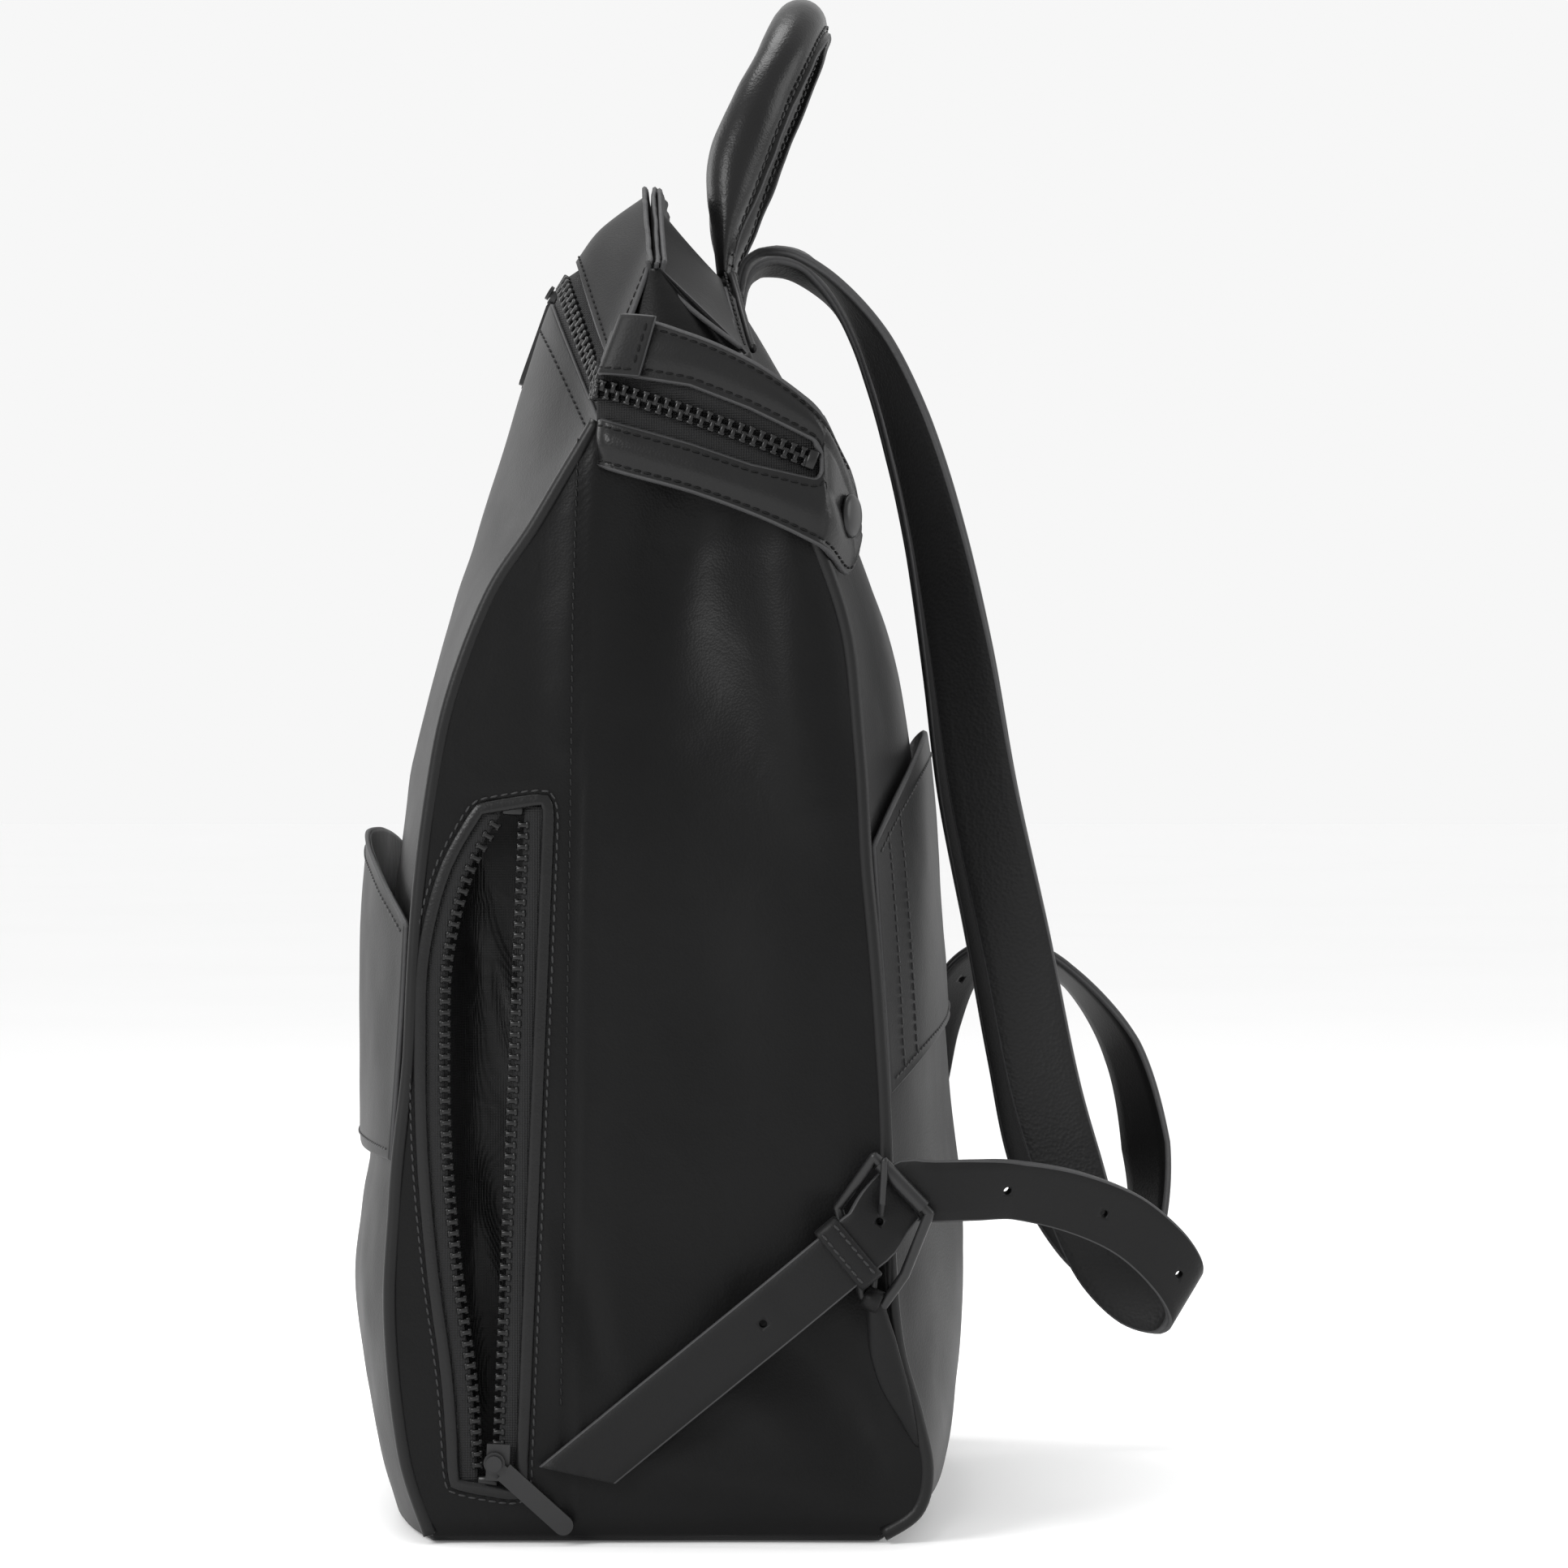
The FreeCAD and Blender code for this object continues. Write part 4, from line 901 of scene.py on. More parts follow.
def side_welt():
    """Folded strip round the side zip's opening, raised, with stitches along its outside."""
    ring = [(front_y(v) - SLOT_OUT + 0.3, v) for v in np.linspace(19, 219, 40)]
    ring += [(rear_y(v) + SLOT_OUT - 0.3, v) for v in np.linspace(222, 16, 40)]
    ring = np.array(ring)
    loop = np.concatenate([ring, ring[:1]])
    loop = straight(np.column_stack([np.full(len(loop), GUSSET_X), loop]), 2.0)[:-1]
    tangent = unit(np.roll(loop, -1, 0) - np.roll(loop, 1, 0))
    for _ in range(3):
        tangent = unit(tangent + np.roll(tangent, 1, 0) + np.roll(tangent, -1, 0))
    away = unit(np.cross(tangent, arr(1, 0, 0)))
    if (away[:, 1:] * (loop[:, 1:] - ring.mean(0))).sum() < 0:
        away = -away
    section = np.array([(-0.4, -0.6), (-0.3, 0.7), (0.3, 1.35), (1.1, 1.45),
                        (2.0, 1.2), (3.0, 1.05), (3.5, 0.6), (3.7, -0.2)])
    wave = noise(loop, 16.0, 81)[:, None, None] * 0.18
    verts = (loop[:, None] + away[:, None] * section[None, :, :1]
             + arr(1, 0, 0) * (section[None, :, 1:] + wave))
    faces = [(a, d, c, b) for a, b, c, d in ring_faces(len(loop), len(section), wrap=True)]
    Pile().put(verts, faces).add("side_welt", [BAND], "bag", "leather", ("side_zip_welt",))
    threads = Pile()
    path = loop + away * 4.6 + arr(0.25, 0, 0)
    sew(threads, np.concatenate([path, path[:1]]), RIGHTWARD, 0.15)
    threads.add("stitch_side_zip", [THREAD], "bag", "leather")


def side_pouch():
    """Dished cloth with folds behind the side zip."""
    u, v = np.meshgrid(np.linspace(-1, 1, 36), np.linspace(-1, 1, 90))
    depth = 18.0 * (1 - np.abs(u) ** 6) * (1 - np.abs(v) ** 14)
    grid = grid_of(134.4 - depth, -44.5 + 25.3 * u, 125 + 115 * v)
    folds = crease(grid, (-60, 190), (-40, 120), 4, 2.5) + crease(grid, (-66, 120), (-52, 60), 4, 2.0)
    grid[..., 0] += (noise(grid, 26, 91) * 2.2 + folds) * edge_fade(grid, 12)
    sheet(grid, LINING_THICK, RIGHTWARD).add(
        "side_pouch", [CLOTH] * 3, "bag", "lining_fabric", ("side_pocket_bag",))


# ------------------------------------------------------------------ wings
WING = np.array([   # stations of the band from the lid to the stud: x, y, top, foot
    (142.4, -24.0, 354.0, 324.0), (144.2, -14.0, 366.0, 321.0), (145.6, 4.0, 362.0, 316.0),
    (146.0, 22.0, 354.0, 309.5), (145.2, 35.5, 345.0, 303.5), (142.2, 44.4, 336.5, 298.5),
    (127.5, 50.8, 326.0, 292.0), (115.0, 55.4, 317.5, 295.0)])
SLOT_TOP = ((-30.0, 353.0), (4.0, 347.6), (22.0, 340.6), (41.0, 331.5), (46.0, 329.5))
SLOT_FOOT = ((-30.0, 339.0), (4.0, 329.4), (22.0, 323.2), (43.0, 318.5), (46.0, 317.8))
WING_CHAIN = ((-22.0, 346.6), (4.0, 338.6), (22.0, 332.2), (42.0, 324.4))
SLOT_END, TAB_START = 4.86, 6.15   # stations where the slot ends and the tab's round end begins
WING_FACING = (1, 0.3, 0)
UPPER_SHARES = (0, 0.03, *np.linspace(0.08, 0.94, 12), 1.0)
SLOT_SHARES = np.linspace(0, 1, 8)[1:-1]
LOWER_SHARES = (0, *np.linspace(0.06, 0.92, 12), 0.97, 1.0)


def wing_lines():
    """Stations of the band, their places, and the heights of its top, slot and foot."""
    stations = np.concatenate([np.linspace(0, SLOT_END, 74), np.linspace(4.90, 6.9, 44), [6.96, 7.0]])
    lines = smooth(WING, stations)
    y, top, foot = lines[:, 1], lines[:, 2], lines[:, 3]
    half = np.sqrt(np.clip(1 - (np.clip((stations - TAB_START) / 0.85, 0, 1) * 0.93) ** 2, 0, 1))
    mid = (top + foot) / 2
    top, foot = mid + (top - mid) * half, mid + (foot - mid) * half
    back = np.clip((stations - SLOT_END) / 1.5, 0, 1)
    slot_top = look_up(SLOT_TOP, y) * (1 - back) + (top + (foot - top) * 0.40) * back
    slot_foot = look_up(SLOT_FOOT, y) * (1 - back) + (top + (foot - top) * 0.66) * back
    tip = np.clip((stations - 4.45) / 0.41, 0, 1) ** 3      # the slot's rounded rear end
    squeeze = (slot_top - slot_foot) * 0.28 * np.where(stations > SLOT_END, 0, tip)
    return stations, lines, back, top, slot_top - squeeze, slot_foot + squeeze, foot


def wing_band():
    """Padded leather band with the zip's slot, and the stitch rows beside its borders."""
    stations, lines, back, top, slot_top, slot_foot, foot = wing_lines()
    z = np.stack([top + (slot_top - top) * s for s in UPPER_SHARES]
                 + [slot_top + (slot_foot - slot_top) * s for s in SLOT_SHARES]
                 + [slot_foot + (foot - slot_foot) * s for s in LOWER_SHARES])
    grid = grid_of(lines[:, 0], lines[:, 1], z)
    n = grid_normals(grid, WING_FACING)
    crown = np.zeros(z.shape)
    for high, low, lift in ((top, slot_top, 1.7), (slot_foot, foot, 1.9)):   # padded between the stitch rows
        s = np.clip((high[None] - z) / np.maximum(high - low, 1e-6)[None], 0, 1)
        crown += lift * np.sin(math.pi * np.clip((s - 0.10) / 0.80, 0, 1)) ** 0.8 * ((s > 0) & (s < 1))
        crown += 0.9 * np.exp(-(s / 0.07) ** 2) * (low is slot_top) + 0.9 * np.exp(-((s - 1) / 0.07) ** 2)
    crown *= (1 - 0.75 * back)[None]
    grid[..., 0] -= 3.4 * np.clip(1 - stations / 0.5, 0, 1)[None] ** 2 * (z < 345)
    above = np.clip((z - 349) / 3, 0, 1)      # the upper band starts at the lid's side edge
    grid[..., 1] += above * np.clip(-20.6 + (z - 355) * 0.36 - grid[..., 1], 0, None)
    t = (top[None] - z) / np.maximum(top - foot, 1e-6)[None]
    crown += 0.6 * np.sin(math.pi * np.clip(t, 0, 1)) + noise(grid, 14, 101) * 0.35
    grid = grid + n * (crown - 0.5)[..., None]
    n = grid_normals(grid, WING_FACING)
    slot_end = int(np.searchsorted(stations, SLOT_END))
    hole = np.zeros((z.shape[0] - 1, z.shape[1] - 1), bool)
    hole[len(UPPER_SHARES) - 1:len(UPPER_SHARES) + len(SLOT_SHARES), :slot_end] = True
    threads = Pile()
    for high, low, share, more in ((top, slot_top, 0.09, 30), (top, slot_top, 0.86, 2),
                                   (slot_foot, foot, 0.12, 2), (slot_foot, foot, 0.90, 34)):
        height = high + (low - high) * share
        path, outs = [], []
        for c in range(1, min(slot_end + more, len(stations))):
            order = np.argsort(grid[:, c, 2])
            path.append([np.interp(height[c], grid[order, c, 2], grid[order, c, k]) for k in range(3)])
            outs.append(n[int(np.argmin(np.abs(grid[:, c, 2] - height[c]))), c])
        sew(threads, path, outs)
    return sheet(grid, 2.2, n, hole), threads


def wing_cuff(threads):
    """Folded cuff over the front end of the upper band, in line with the flap's corner."""
    cuff = []
    for s in np.linspace(0, 1, 12):
        z, corner, end = 351.0 + 17.5 * s, -23.6 + 6.6 * s, -11.5 + 5.0 * s
        points = ((140.8 - 3.5 * s, corner + 0.2, z + 0.4), (146.0 - s, corner - 0.2, z),
                  (148.3 - 0.6 * s, corner + 3.2, z - 0.3), (149.0 - 0.6 * s, end, z - 1.0))
        cuff.append(smooth(points, np.linspace(0, 3, 20)))
    cuff = np.array(cuff)[::-1]
    n = grid_normals(cuff, (1, -0.3, 0))
    for line in ((-2, slice(2, -2)), (slice(1, -2), -3)):
        sew(threads, cuff[line], n[line])
    return sheet(cuff, 1.5, n)


def wing_zip():
    """Tape and closed chain of teeth in the band's slot, with the chain's end stop."""
    stations, lines = wing_lines()[:2]
    near = lines[:int(np.searchsorted(stations, SLOT_END)) + 6]
    ys = np.linspace(-24, 43.5, 44)
    x, z = np.interp(ys, near[:, 1], near[:, 0]), look_up(WING_CHAIN, ys)
    shares = np.linspace(0, 1, 15)[:, None]
    grid = grid_of(x - 1.9 - 0.9 * np.cos((shares - 0.5) * math.pi) ** 2, ys, z + 9.5 - 19 * shares)
    frames = even(np.stack([x - 1.15, ys, z], 1)[::4], TOOTH_PITCH / 2)
    ahead = unit(np.gradient(frames, axis=0))
    out = unit(np.cross(ahead, arr(0, 0, 1)))
    out = out * np.sign(out[:, :1])
    up = np.cross(out, ahead)
    up = up * np.sign(up[:, 2:])
    turn = np.where(np.arange(len(frames)) % 2, 1, -1)[:, None]   # the teeth of the two rows take turns
    teeth = Pile()
    stamp(teeth, TOOTH, frames + up * 1.1 * turn, ahead, -up * turn, out)
    end_stop, last = chamfered((3.2, 6.0, 3.4), 0.5), slice(-1, None)
    stamp(teeth, end_stop, frames[last] + ahead[last] * 1.5, ahead[last], up[last], out[last])
    return sheet(grid, TAPE_THICK, RIGHTWARD), teeth


def stud_caps():
    """Domed caps of the press studs."""
    dome = [(6.3, -1.1), (6.7, -0.7), (6.75, -0.1), (6.5, 0.45),
            (5.6, 0.95), (4.2, 1.3), (2.4, 1.5), (0.9, 1.56)]
    turns = np.linspace(0, 2 * math.pi, 40, endpoint=False)
    level = arr(0, 0, 1)
    for side, sign in LEFT_RIGHT:
        low, high = (np.array(c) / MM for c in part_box("snap_cap_%s" % side))
        axis = unit(arr(0.38 * sign, 0.925, 0))
        cross = np.cross(axis, level)
        verts = [(low + high) / 2 + axis * h + cross * r * math.cos(g) + level * r * math.sin(g)
                 for r, h in dome for g in turns]
        Pile().put(verts, ring_faces(len(dome), len(turns))).add(
            "stud_cap_%s" % side, [METAL], "wing_%s" % side[0], "black_metal", ("snap_cap_%s" % side,))


def wings():
    band_pile, threads = wing_band()
    cuff = wing_cuff(threads)
    tape, teeth = wing_zip()
    band_pile.add_pair("wing_band_*", (BAND, PANEL, EDGE), "wing_*", "leather", "wing_*")
    cuff.add_pair("wing_cuff_*", LINED, "wing_*", "leather")
    tape.add_pair("wing_tape_cloth_*", [TAPE] * 3, "wing_*", "zip_tape", "wing_tape_*")
    teeth.add_pair("wing_chain_*", [TEETH], "wing_*", "zip_plastic", "wing_teeth_*")
    threads.add_pair("stitch_wing_*", [DARK_THREAD], "wing_*", "leather")
    stud_caps()


# ------------------------------------------------------------------ handle
HANDLE_PATH = [   # one leg and half of the grip: x, y, z, half width, half depth
    (48.0, 13.0, 388.0, 11.0, 2.0), (48.0, 13.0, 392.0, 11.0, 2.4), (48.5, 13.4, 402.0, 11.0, 4.0),
    (48.5, 14.4, 413.0, 10.5, 7.2), (47.5, 17.0, 426.0, 9.4, 9.0), (44.0, 23.5, 442.0, 8.5, 8.6),
    (34.0, 31.0, 459.0, 8.4, 8.4), (19.0, 35.8, 470.5, 8.4, 8.4), (0.0, 37.6, 474.6, 8.4, 8.4)]
HANDLE_FOLD = ("bag", "handle", (0, 12.8, 388.4), (0, 13.6, 398.4))


def handle():
    """Rolled grip with flat legs: one tube whose seam flange runs up the back and along the grip."""
    line = even(HANDLE_PATH + [(-x, y, z, a, b) for x, y, z, a, b in HANDLE_PATH[-2::-1]], 2.0)
    path, radii = line[:, :3], line[:, 3:]
    sides = 28
    ring, sideways, through = oval(path, radii, arr(0, 0.93, -0.36), sides)
    up = np.sin(np.linspace(0, 2 * math.pi, sides, endpoint=False))
    pinch = np.clip((430 - path[:, 2]) / 40, 0, 1)[:, None] * np.exp(-((up + 0.3) / 0.4) ** 2)[None] * 0.9
    swell = noise(ring, 13.0, 111) * 0.35 + noise(ring, 5.0, 112) * 0.08 - pinch
    ring = ring + unit(ring - path[:, None]) * swell[..., None]
    pile = Pile().put(ring, ring_faces(len(path), sides))
    # seam flange along the rear inner side, where the leather's two edges are sewn together
    spread = np.clip((path[:, 2] - 392) / 40, 0, 1)[:, None]
    foot = path + through * (radii[:, 1:] - 0.7)
    tip = foot + through * (1.0 + 1.3 * spread + noise(foot, 9, 115)[:, None] * 0.45 * spread)
    side_n = unit(np.cross(unit(np.gradient(path, axis=0)), through))
    grid = across(foot, tip, np.linspace(0, 1, 5)) + side_n[None] * 0.8
    pile.join(sheet(grid, 1.6, np.broadcast_to(side_n, grid.shape)))
    nodes = ("handle_grip", "handle_core")
    grip = pile.add("handle_roll", (BAND, BAND, EDGE), None, "leather", nodes, HANDLE_FOLD)
    threads = Pile()
    for turn in (0.30, -0.30):   # stitches on the roll just beside its seam
        on = path + sideways * (radii[:, :1] * math.sin(turn)) + through * (radii[:, 1:] * math.cos(turn))
        sew(threads, on[6:-6], unit(on - path)[6:-6], 0.22, 3.0)
    threads.add("stitch_handle", [THREAD], None, "leather", (), HANDLE_FOLD)


# ------------------------------------------------------------------ straps
WIDE, NARROW = 22.0, 18.5
STRAP_DOWN = [
    (25, 17.6, 385.5, 1, 0, 0, WIDE), (25, 19.0, 392.5, 1, 0, 0, WIDE),
    (25.5, 22.0, 396.8, 1, 0, -0.05, WIDE), (27, 28.0, 398.8, 1, 0, -0.12, WIDE),
    (31, 38.0, 396.0, 1, 0.05, -0.15, WIDE),
    (36, 50.0, 385.0, 1, 0.20, -0.15, WIDE), (42, 62.0, 366.0, 1, 0.45, -0.1, WIDE),
    (48, 72.0, 340.0, 0.9, 0.62, 0, WIDE), (55, 80.5, 308.0, 0.8, 0.75, 0, WIDE),
    (63, 88.0, 268.0, 0.55, 0.85, 0, WIDE), (72, 94.5, 225.0, 0.35, 0.95, 0, WIDE),
    (82, 104.0, 179.0, 0.2, 1, 0, WIDE), (92, 112.0, 137.0, 0.1, 1, 0.1, WIDE)]
LOOP_RIGHT = [
    (97, 119.5, 110.0, 0.1, 1, 0.15, 21.5), (99, 124.5, 94.5, 0.15, 0.92, 0.42, 21.0),
    (101.5, 131.5, 80.5, 0.15, 0.75, 0.66, 21.0), (105, 141.0, 71.0, 0.12, 0.58, 0.81, 20.5),
    (110, 150.8, 68.6, 0.1, 0.5, 0.86, 20.0), (117, 153.8, 74.0, 0.1, 0.5, 0.86, 20.0),
    (122.5, 148.5, 83.5, 0.1, 0.47, 0.88, 20.0), (127.5, 136.0, 94.6, 0.1, 0.36, 0.93, 19.5),
    (133, 119.5, 102.0, 0.25, 0.1, 0.95, 19.0), (138.5, 102.0, 106.0, 0.35, 0, 0.93, NARROW),
    (142, 89.0, 106.3, 0.15, -0.2, 0.96, NARROW), (143.2, 78.4, 106.0, 0, -0.35, 0.94, NARROW)]
LOOP_LEFT = [
    (99, 120.0, 99.0, 0.1, 1, 0.3, 21.5), (102, 135.0, 72.0, 0.2, 0.9, 0.5, 21.0),
    (105, 149.5, 62.5, 0.6, 0.3, 0.7, 20.5), (108, 157.0, 76.0, 0.85, -0.45, 0.2, 20.0),
    (111, 157.0, 103.0, 0.65, -0.75, 0.05, 20.0), (115, 149.0, 136.0, 0.8, -0.55, -0.2, 19.5),
    (120, 131.0, 161.0, 0.9, 0, -0.35, 19.0), (127, 112.0, 170.0, 0.9, 0.1, -0.4, NARROW),
    (134.5, 96.0, 164.0, 0.8, 0.3, -0.45, NARROW), (140, 86.0, 145.0, 0.55, 0.6, -0.5, NARROW),
    (143, 80.5, 124.0, 0.2, 0.85, -0.4, NARROW), (143.2, 77.5, 113.0, 0, 0.8, -0.6, NARROW)]
TAIL = [
    (143.1, 74.0, 106.2, 0, -0.5, 0.86, NARROW), (143.1, 68.2, 106.0, 0, -0.6, 0.8, NARROW),
    (145.6, 62.2, 100.2, 0, -0.638, 0.77, NARROW), (148.9, 58.2, 93.9, 0, -0.638, 0.77, NARROW),
    (149.4, 55.0, 91.2, 0, -0.638, 0.77, NARROW), (149.4, 44.0, 82.1, 0, -0.638, 0.77, NARROW),
    (149.4, 34.0, 73.8, 0, -0.638, 0.77, NARROW), (149.2, 24.0, 65.6, 0, -0.638, 0.77, NARROW),
    (144.0, -2.0, 44.0, 0, -0.638, 0.77, NARROW), (141.3, -40.0, 12.6, 0, -0.638, 0.77, NARROW)]
# cross-section as (share of half width, share of half thickness), with the groove between its two layers
HALF_SECTION = [(-0.94, 0.98), (-0.6, 1.0), (-0.2, 1.0), (0.2, 1.0), (0.6, 1.0), (0.94, 0.98),
                (0.992, 0.72), (1.0, 0.16), (0.98, 0.0), (1.0, -0.16), (0.992, -0.72)]
SECTION = HALF_SECTION + [(-w, -h) for w, h in HALF_SECTION]
OUTER_SIDES, INNER_SIDES = range(5), range(11, 16)   # sides of the section on its two faces
TAIL_TIP = ((26.6, 8.6), (-81.4, 32.1))              # line (y, z) along which the tail is cut
HOLE_PLACES = (26.0, 58.0, 90.0, -18.0, -64.0)       # distance of each hole before the buckle


def band(stations, thick=STRAP_THICK, step=2.0, hairpin=None):
    """Strap of leather along stations; returns its Pile, centre line and face directions.

    Near the hairpin, counted in stations, the width keeps its stated direction through the turn."""
    line = even([s[:3] for s in stations], step)
    along = run_length(dense([s[:3] for s in stations]))
    count = np.arange(len(stations))
    at = np.interp(np.linspace(0, along[-1], len(line)), along[::DENSE], count)
    wide_table = np.array([unit(s[3:6]) * s[6] for s in stations])
    wide = unit(np.stack([np.interp(at, count, wide_table[:, k]) for k in range(3)], 1))
    width = np.interp(at, count, [s[6] for s in stations])
    ahead = unit(np.gradient(line, axis=0))
    keep = np.exp(-((at - hairpin) / 3.0) ** 6)[:, None] if hairpin else 0.0
    wide = unit(wide - ahead * (wide * ahead).sum(1, keepdims=True) * (1 - keep))
    normal = unit(np.cross(ahead, wide))
    w, h = (np.array([p[k] for p in SECTION])[None, :, None] for k in (0, 1))
    ring = line[:, None] + wide[:, None] * w * width[:, None, None] / 2 + normal[:, None] * h * thick / 2
    sides = [0 if c in OUTER_SIDES else 1 if c in INNER_SIDES else 2 for c in range(len(SECTION))]
    index = sides * (len(line) - 1) + [2, 2]
    return Pile().put(ring, ring_faces(len(line), len(SECTION)), index), line, normal


def cut_holes(obj, spots, radius=1.2, sides=20):
    """Punches round holes, each spot being (point, direction), in mm."""
    turns = np.linspace(0, 2 * math.pi, sides, endpoint=False)
    for centre, axis in spots:
        axis = unit(axis)
        a = unit(np.cross(axis, arr(0.3, 0.2, 1)))
        b = np.cross(axis, a)
        verts = [centre + axis * h + (a * math.cos(g) + b * math.sin(g)) * radius
                 for h in (-5, 5) for g in turns]
        mesh = bpy.data.meshes.new("cutter")
        mesh.from_pydata((np.array(verts) * MM).tolist(), [], ring_faces(2, sides))
        # the cutter gives the hole walls the painted shade material
        mesh.materials.append(HOLE_SHADE)
        cutter = bpy.data.objects.new("cutter", mesh)
        bpy.context.scene.collection.objects.link(cutter)
        mod = obj.modifiers.new("punch", "BOOLEAN")
        mod.object, mod.operation, mod.solver = cutter, "DIFFERENCE", "EXACT"
        bpy.context.view_layer.update()
        result = bpy.data.meshes.new_from_object(obj.evaluated_get(bpy.context.evaluated_depsgraph_get()))
        obj.modifiers.clear()
        if len(result.vertices) > 100:   # a failed cut leaves next to nothing
            obj.data = result
        bpy.data.objects.remove(cutter)


def slant_tip(verts):
    """Cuts the tail's end along its slanted line, by moving its last points back."""
    (y0, z0), (y1, z1) = TAIL_TIP
    slope = (z1 - z0) / (y1 - y0)
    cut_z = z0 + (verts[:, 1] - y0) * slope
    below = (verts[:, 2] < 44) & (verts[:, 0] > 135) & (verts[:, 1] < 30) & (verts[:, 2] < cut_z)
    way = unit(arr(-2.7, -38.0, -31.4))
    back = (cut_z - verts[:, 2]) / (-way[2] + slope * way[1])
    verts[below] -= way * back[below, None]


def straps():
    for side, sign in LEFT_RIGHT:
        loop = LOOP_RIGHT if sign > 0 else LOOP_LEFT
        tail = [(*s[:3], *(sign * c for c in s[3:6]), s[6]) for s in TAIL]
        pile, line, normal = band(STRAP_DOWN + loop + tail, hairpin=18.0 if sign > 0 else None)
        slant_tip(pile.verts)
        if sign < 0:
            pile = pile.mirror()
        obj = make_object("strap_%s" % side, pile.verts, pile.faces, (SUEDE, STRAP, EDGE, HOLE_SHADE), pile.index)
        at = run_length(line)
        tail_start = at[int(np.argmin(np.linalg.norm(line - arr(*TAIL[0][:3]), axis=1)))]
        spots = []
        for gap in HOLE_PLACES:
            k = int(np.argmin(np.abs(at - (tail_start - gap))))
            spots.append((line[k] * arr(sign, 1, 1), normal[k] * arr(sign, 1, 1)))
        cut_holes(obj, spots)
        fold = ("strap_%s" % side[0], "bag", (143.2 * sign, 85.0, 111.0), (148.2 * sign, 80.0, 104.0))
        nodes = ("shoulder_strap_%s" % side, "strap_tail_%s" % side)
        declare(obj, None, nodes, fold)


def keeper():
    """Sewn leather loop that slides on the strap's tail."""
    start, end = arr(149.4, 55.0, 91.2), arr(149.4, 34.0, 73.8)
    way, out = unit(end - start), arr(1, 0, 0)
    wide = np.cross(out, way)
    centre = start + way * 5.0
    half_w, half_t = 19.5 / 2 + 0.9, 4.0 / 2 + 0.9
    corner = 1.6
    loop = []
    for across_sign, out_sign, first in ((1, 1, 0), (-1, 1, 90), (-1, -1, 180), (1, -1, 270)):
        cx, cy = across_sign * (half_w - corner), out_sign * (half_t - corner)
        loop += [(cx + corner * math.cos(g), cy + corner * math.sin(g), 0)
                 for g in np.radians(np.linspace(first, first + 90, 6))]
    flat = straight(loop + loop[:1], 1.2)[:-1, :2]
    section = [(-4.0, -0.5), (-3.9, 0.55), (-3.2, 0.9), (3.2, 0.9),
               (3.9, 0.55), (4.0, -0.5), (3.6, -0.85), (-3.6, -0.85)]
    away = unit(flat / arr(half_w, half_t) ** 2)
    verts = [centre + way * s + wide * (p[0] + a[0] * t) + out * (p[1] + a[1] * t)
             for p, a in zip(flat, away) for s, t in section]
    ring = Pile().put(verts, ring_faces(len(flat), len(section), wrap=True))
    threads = Pile()
    for shift in (-2.3, 2.3):
        row = centre + way * shift + out * (half_t + 0.9)
        sew(threads, [row + wide * w for w in np.linspace(-half_w + 1, half_w - 1, 12)], out, 0.1, 2.6)
    ring.add_pair("keeper_loop_*", [STRAP], "keeper_*", "strap_leather", "strap_keeper_*")
    threads.add_pair("stitch_keeper_*", [THREAD], "keeper_*", "strap_leather")


ANCHOR = [  # soft folded tab: (x, y, z, half width, half thickness)
    (142.9, 59.4, 73.0, 2.6, 2.4), (142.6, 60.2, 66.0, 3.6, 2.4), (142.0, 62.2, 57.0, 4.5, 2.2),
    (140.9, 65.4, 47.0, 4.2, 2.0), (139.2, 69.4, 37.0, 2.6, 1.8), (137.4, 72.4, 29.0, 1.2, 1.2)]


def anchors():
    """Folded tab that holds each buckle, with its loop round the buckle's bar."""
    line = even(ANCHOR, 1.6)
    twist = np.linspace(0, 1, len(line))[:, None]
    pile = tube(line[:, :3], line[:, 3:], arr(1, -0.3, 0) + twist * arr(0, 0.9, 0), 18, wobble=0.35)
    bar_a, bar_b = arr(143.6, 61.7, 72.0), arr(142.4, 55.6, 74.8)
    along = unit(bar_b - bar_a)
    first = unit(np.cross(along, arr(1, 0, 0)))
    second = np.cross(along, first)
    turns = np.linspace(0, 2 * math.pi, 25)[:-1]
    section = [(-2.7, 2.0), (-2.7, 3.3), (-2.4, 3.7), (2.4, 3.7), (2.7, 3.3), (2.7, 2.0)]
    verts = [(bar_a + bar_b) / 2 + along * s + (first * math.cos(g) + second * math.sin(g)) * r
             for g in turns for s, r in section]
    pile.put(verts, ring_faces(len(turns), len(section), wrap=True), 1)
    pile.add_pair("anchor_tab_*", [STRAP, STRAP], "bag", "strap_leather", "strap_anchor_*")


def handle_feet():
    """Stitches where the handle's legs go under the top seam."""
    threads = Pile()
    for x in (48, -48):
        for z in (391.7, 395.1):
            sew(threads, [(x + s, 16.0, z) for s in np.linspace(-9, 9, 8)], REARWARD, 0.1, 2.8)
    threads.add("stitch_handle_feet", [THREAD], "bag", "leather")


# ------------------------------------------------------------------ carried-over CAD nodes
METAL_NODES = ("snap", "buckle", "mouth_slider", "mouth_puller", "side_slider", "side_puller")


def cad_materials():
    for name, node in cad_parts.items():
        if node.hide_render or not name.startswith(METAL_NODES + ("base_board",)):
            continue
        node.data.materials.clear()
        node.data.materials.append(METAL if name.startswith(METAL_NODES) else BOARD)


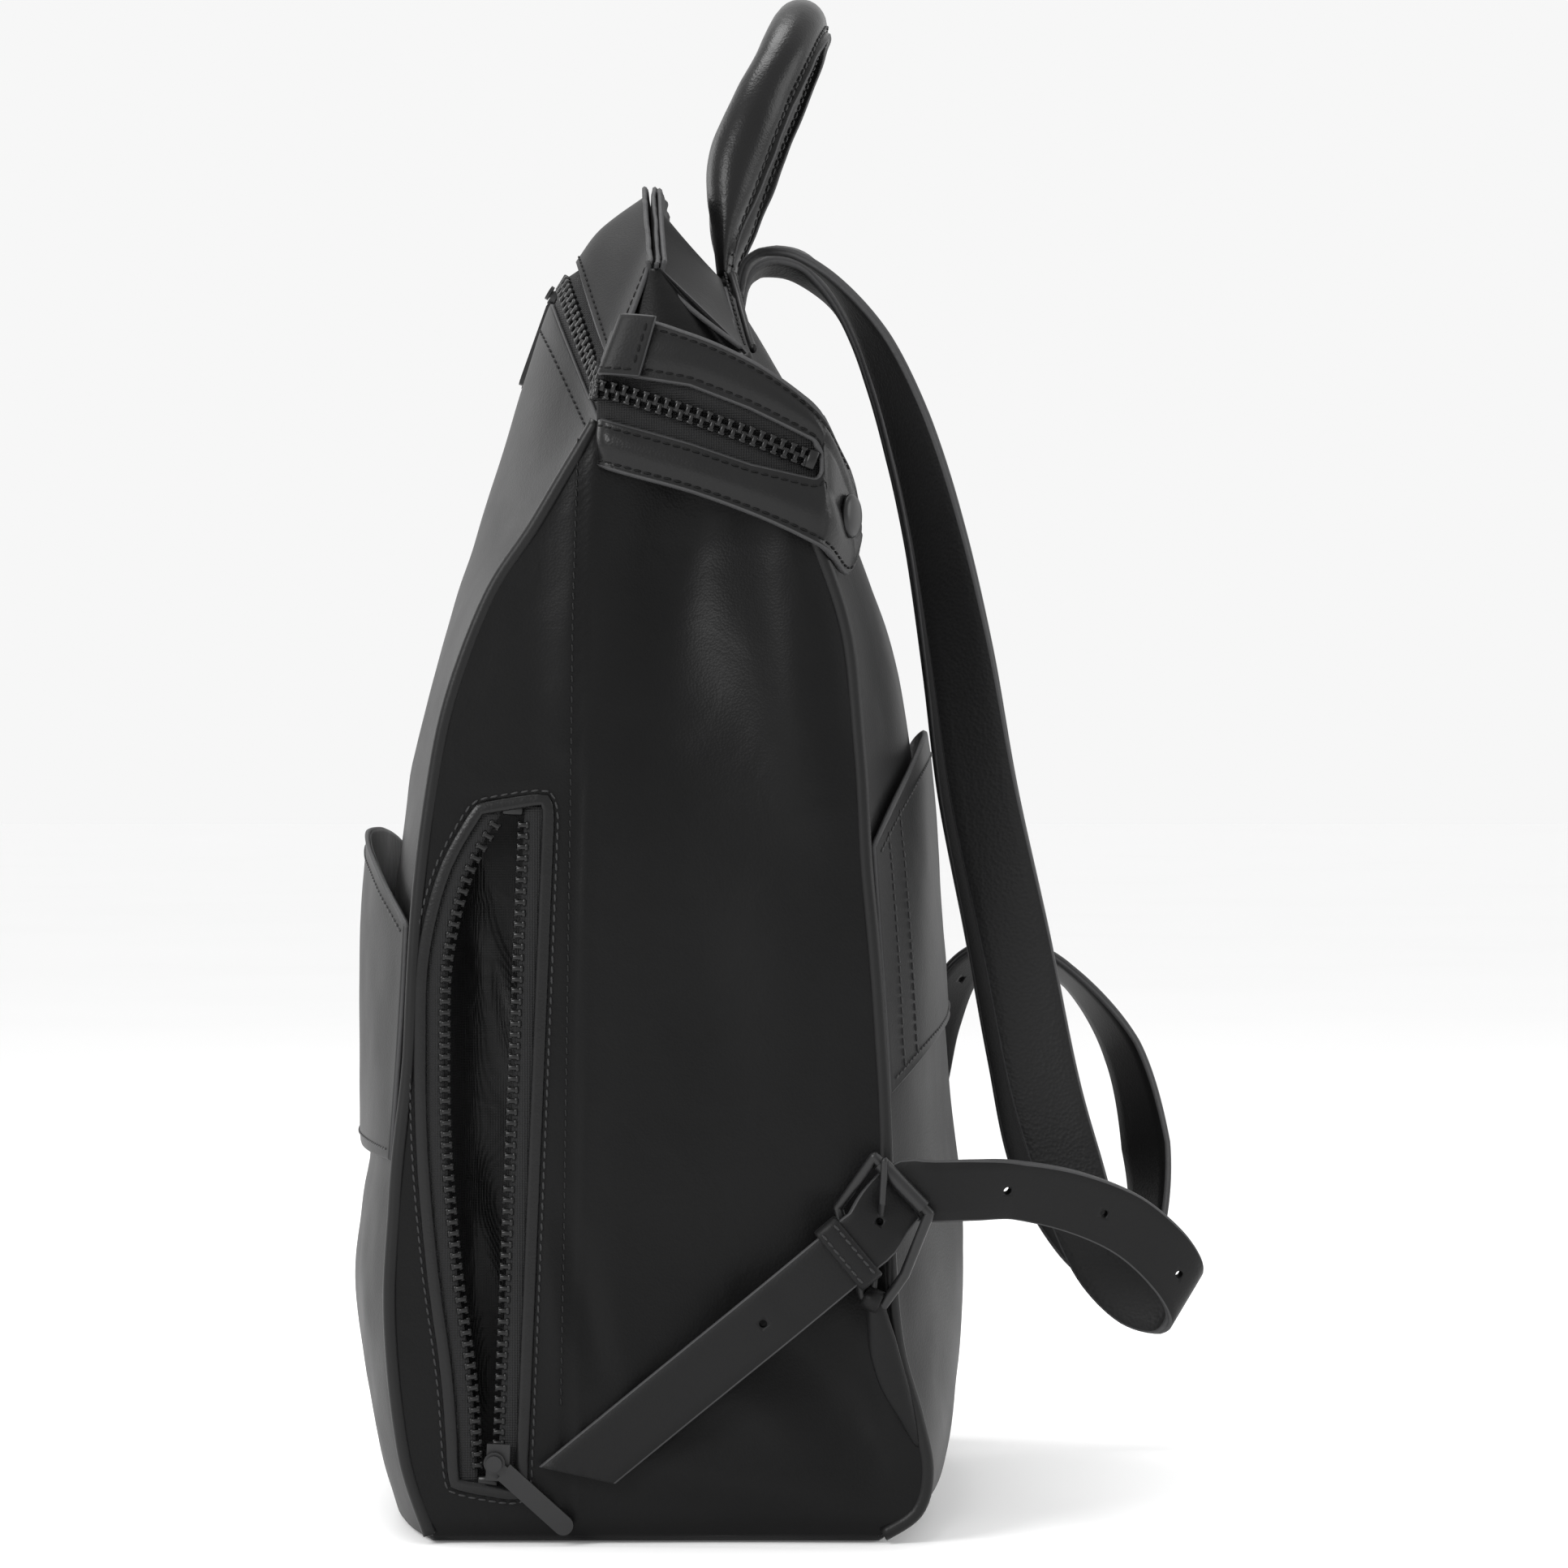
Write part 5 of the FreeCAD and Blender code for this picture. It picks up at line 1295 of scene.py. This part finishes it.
# ------------------------------------------------------------------ floor and light, in metres
FLOOR_HALF, FLOOR_Z = 30.0, -0.0005
LAMP_TARGET = Vector((0, 0, 0.24))
LAMPS = (   # name, place, size, power in watts
    ("key_light", (1.45, -1.15, 1.15), 0.75, 22), ("back_light", (0.1, 1.7, 0.8), 1.0, 8),
    ("front_rim", (-1.1, -1.6, 0.9), 1.1, 8), ("top_light", (-0.1, -0.25, 1.8), 0.8, 16))


def studio():
    mesh = bpy.data.meshes.new("floor")
    corners = ((-1, -1), (1, -1), (1, 1), (-1, 1))
    mesh.from_pydata([(x * FLOOR_HALF, y * FLOOR_HALF, FLOOR_Z) for x, y in corners], [], [(0, 1, 2, 3)])
    floor = bpy.data.objects.new("floor", mesh)
    bpy.context.scene.collection.objects.link(floor)
    paper = surface("floor_paper", (0.87, 0.87, 0.87), (0.9, 0.9, 0.9), (0.8, 0.9), specular=0.1, patch=1.5)
    glow = paper.node_tree.nodes["Principled BSDF"]
    glow.inputs["Emission Color"].default_value = (1, 1, 1, 1)
    glow.inputs["Emission Strength"].default_value = 0.11
    mesh.materials.append(paper)
    world = bpy.data.worlds.new("studio")
    bpy.context.scene.world = world
    world.use_nodes = True
    background = world.node_tree.nodes["Background"]
    background.inputs["Color"].default_value = (1, 1, 1, 1)
    background.inputs["Strength"].default_value = 0.93
    for name, place, size, power in LAMPS:
        lamp = bpy.data.lights.new(name, "AREA")
        lamp.energy, lamp.size = power, size
        obj = bpy.data.objects.new(name, lamp)
        bpy.context.scene.collection.objects.link(obj)
        obj.location = place
        obj.rotation_euler = (LAMP_TARGET - Vector(place)).to_track_quat("-Z", "Y").to_euler()
    bpy.context.scene.view_settings.view_transform = "Standard"


front_panels()
back_panels()
base()
for side_name, side_sign in LEFT_RIGHT:
    gusset(side_name, side_sign)
for build in (piping, lining, yoke, lid, ridge, yoke_seam, side_gores, mouth_zip, side_chain, side_welt,
              side_pouch, wings, handle, straps, keeper, anchors, handle_feet, cad_materials, studio):
    build()
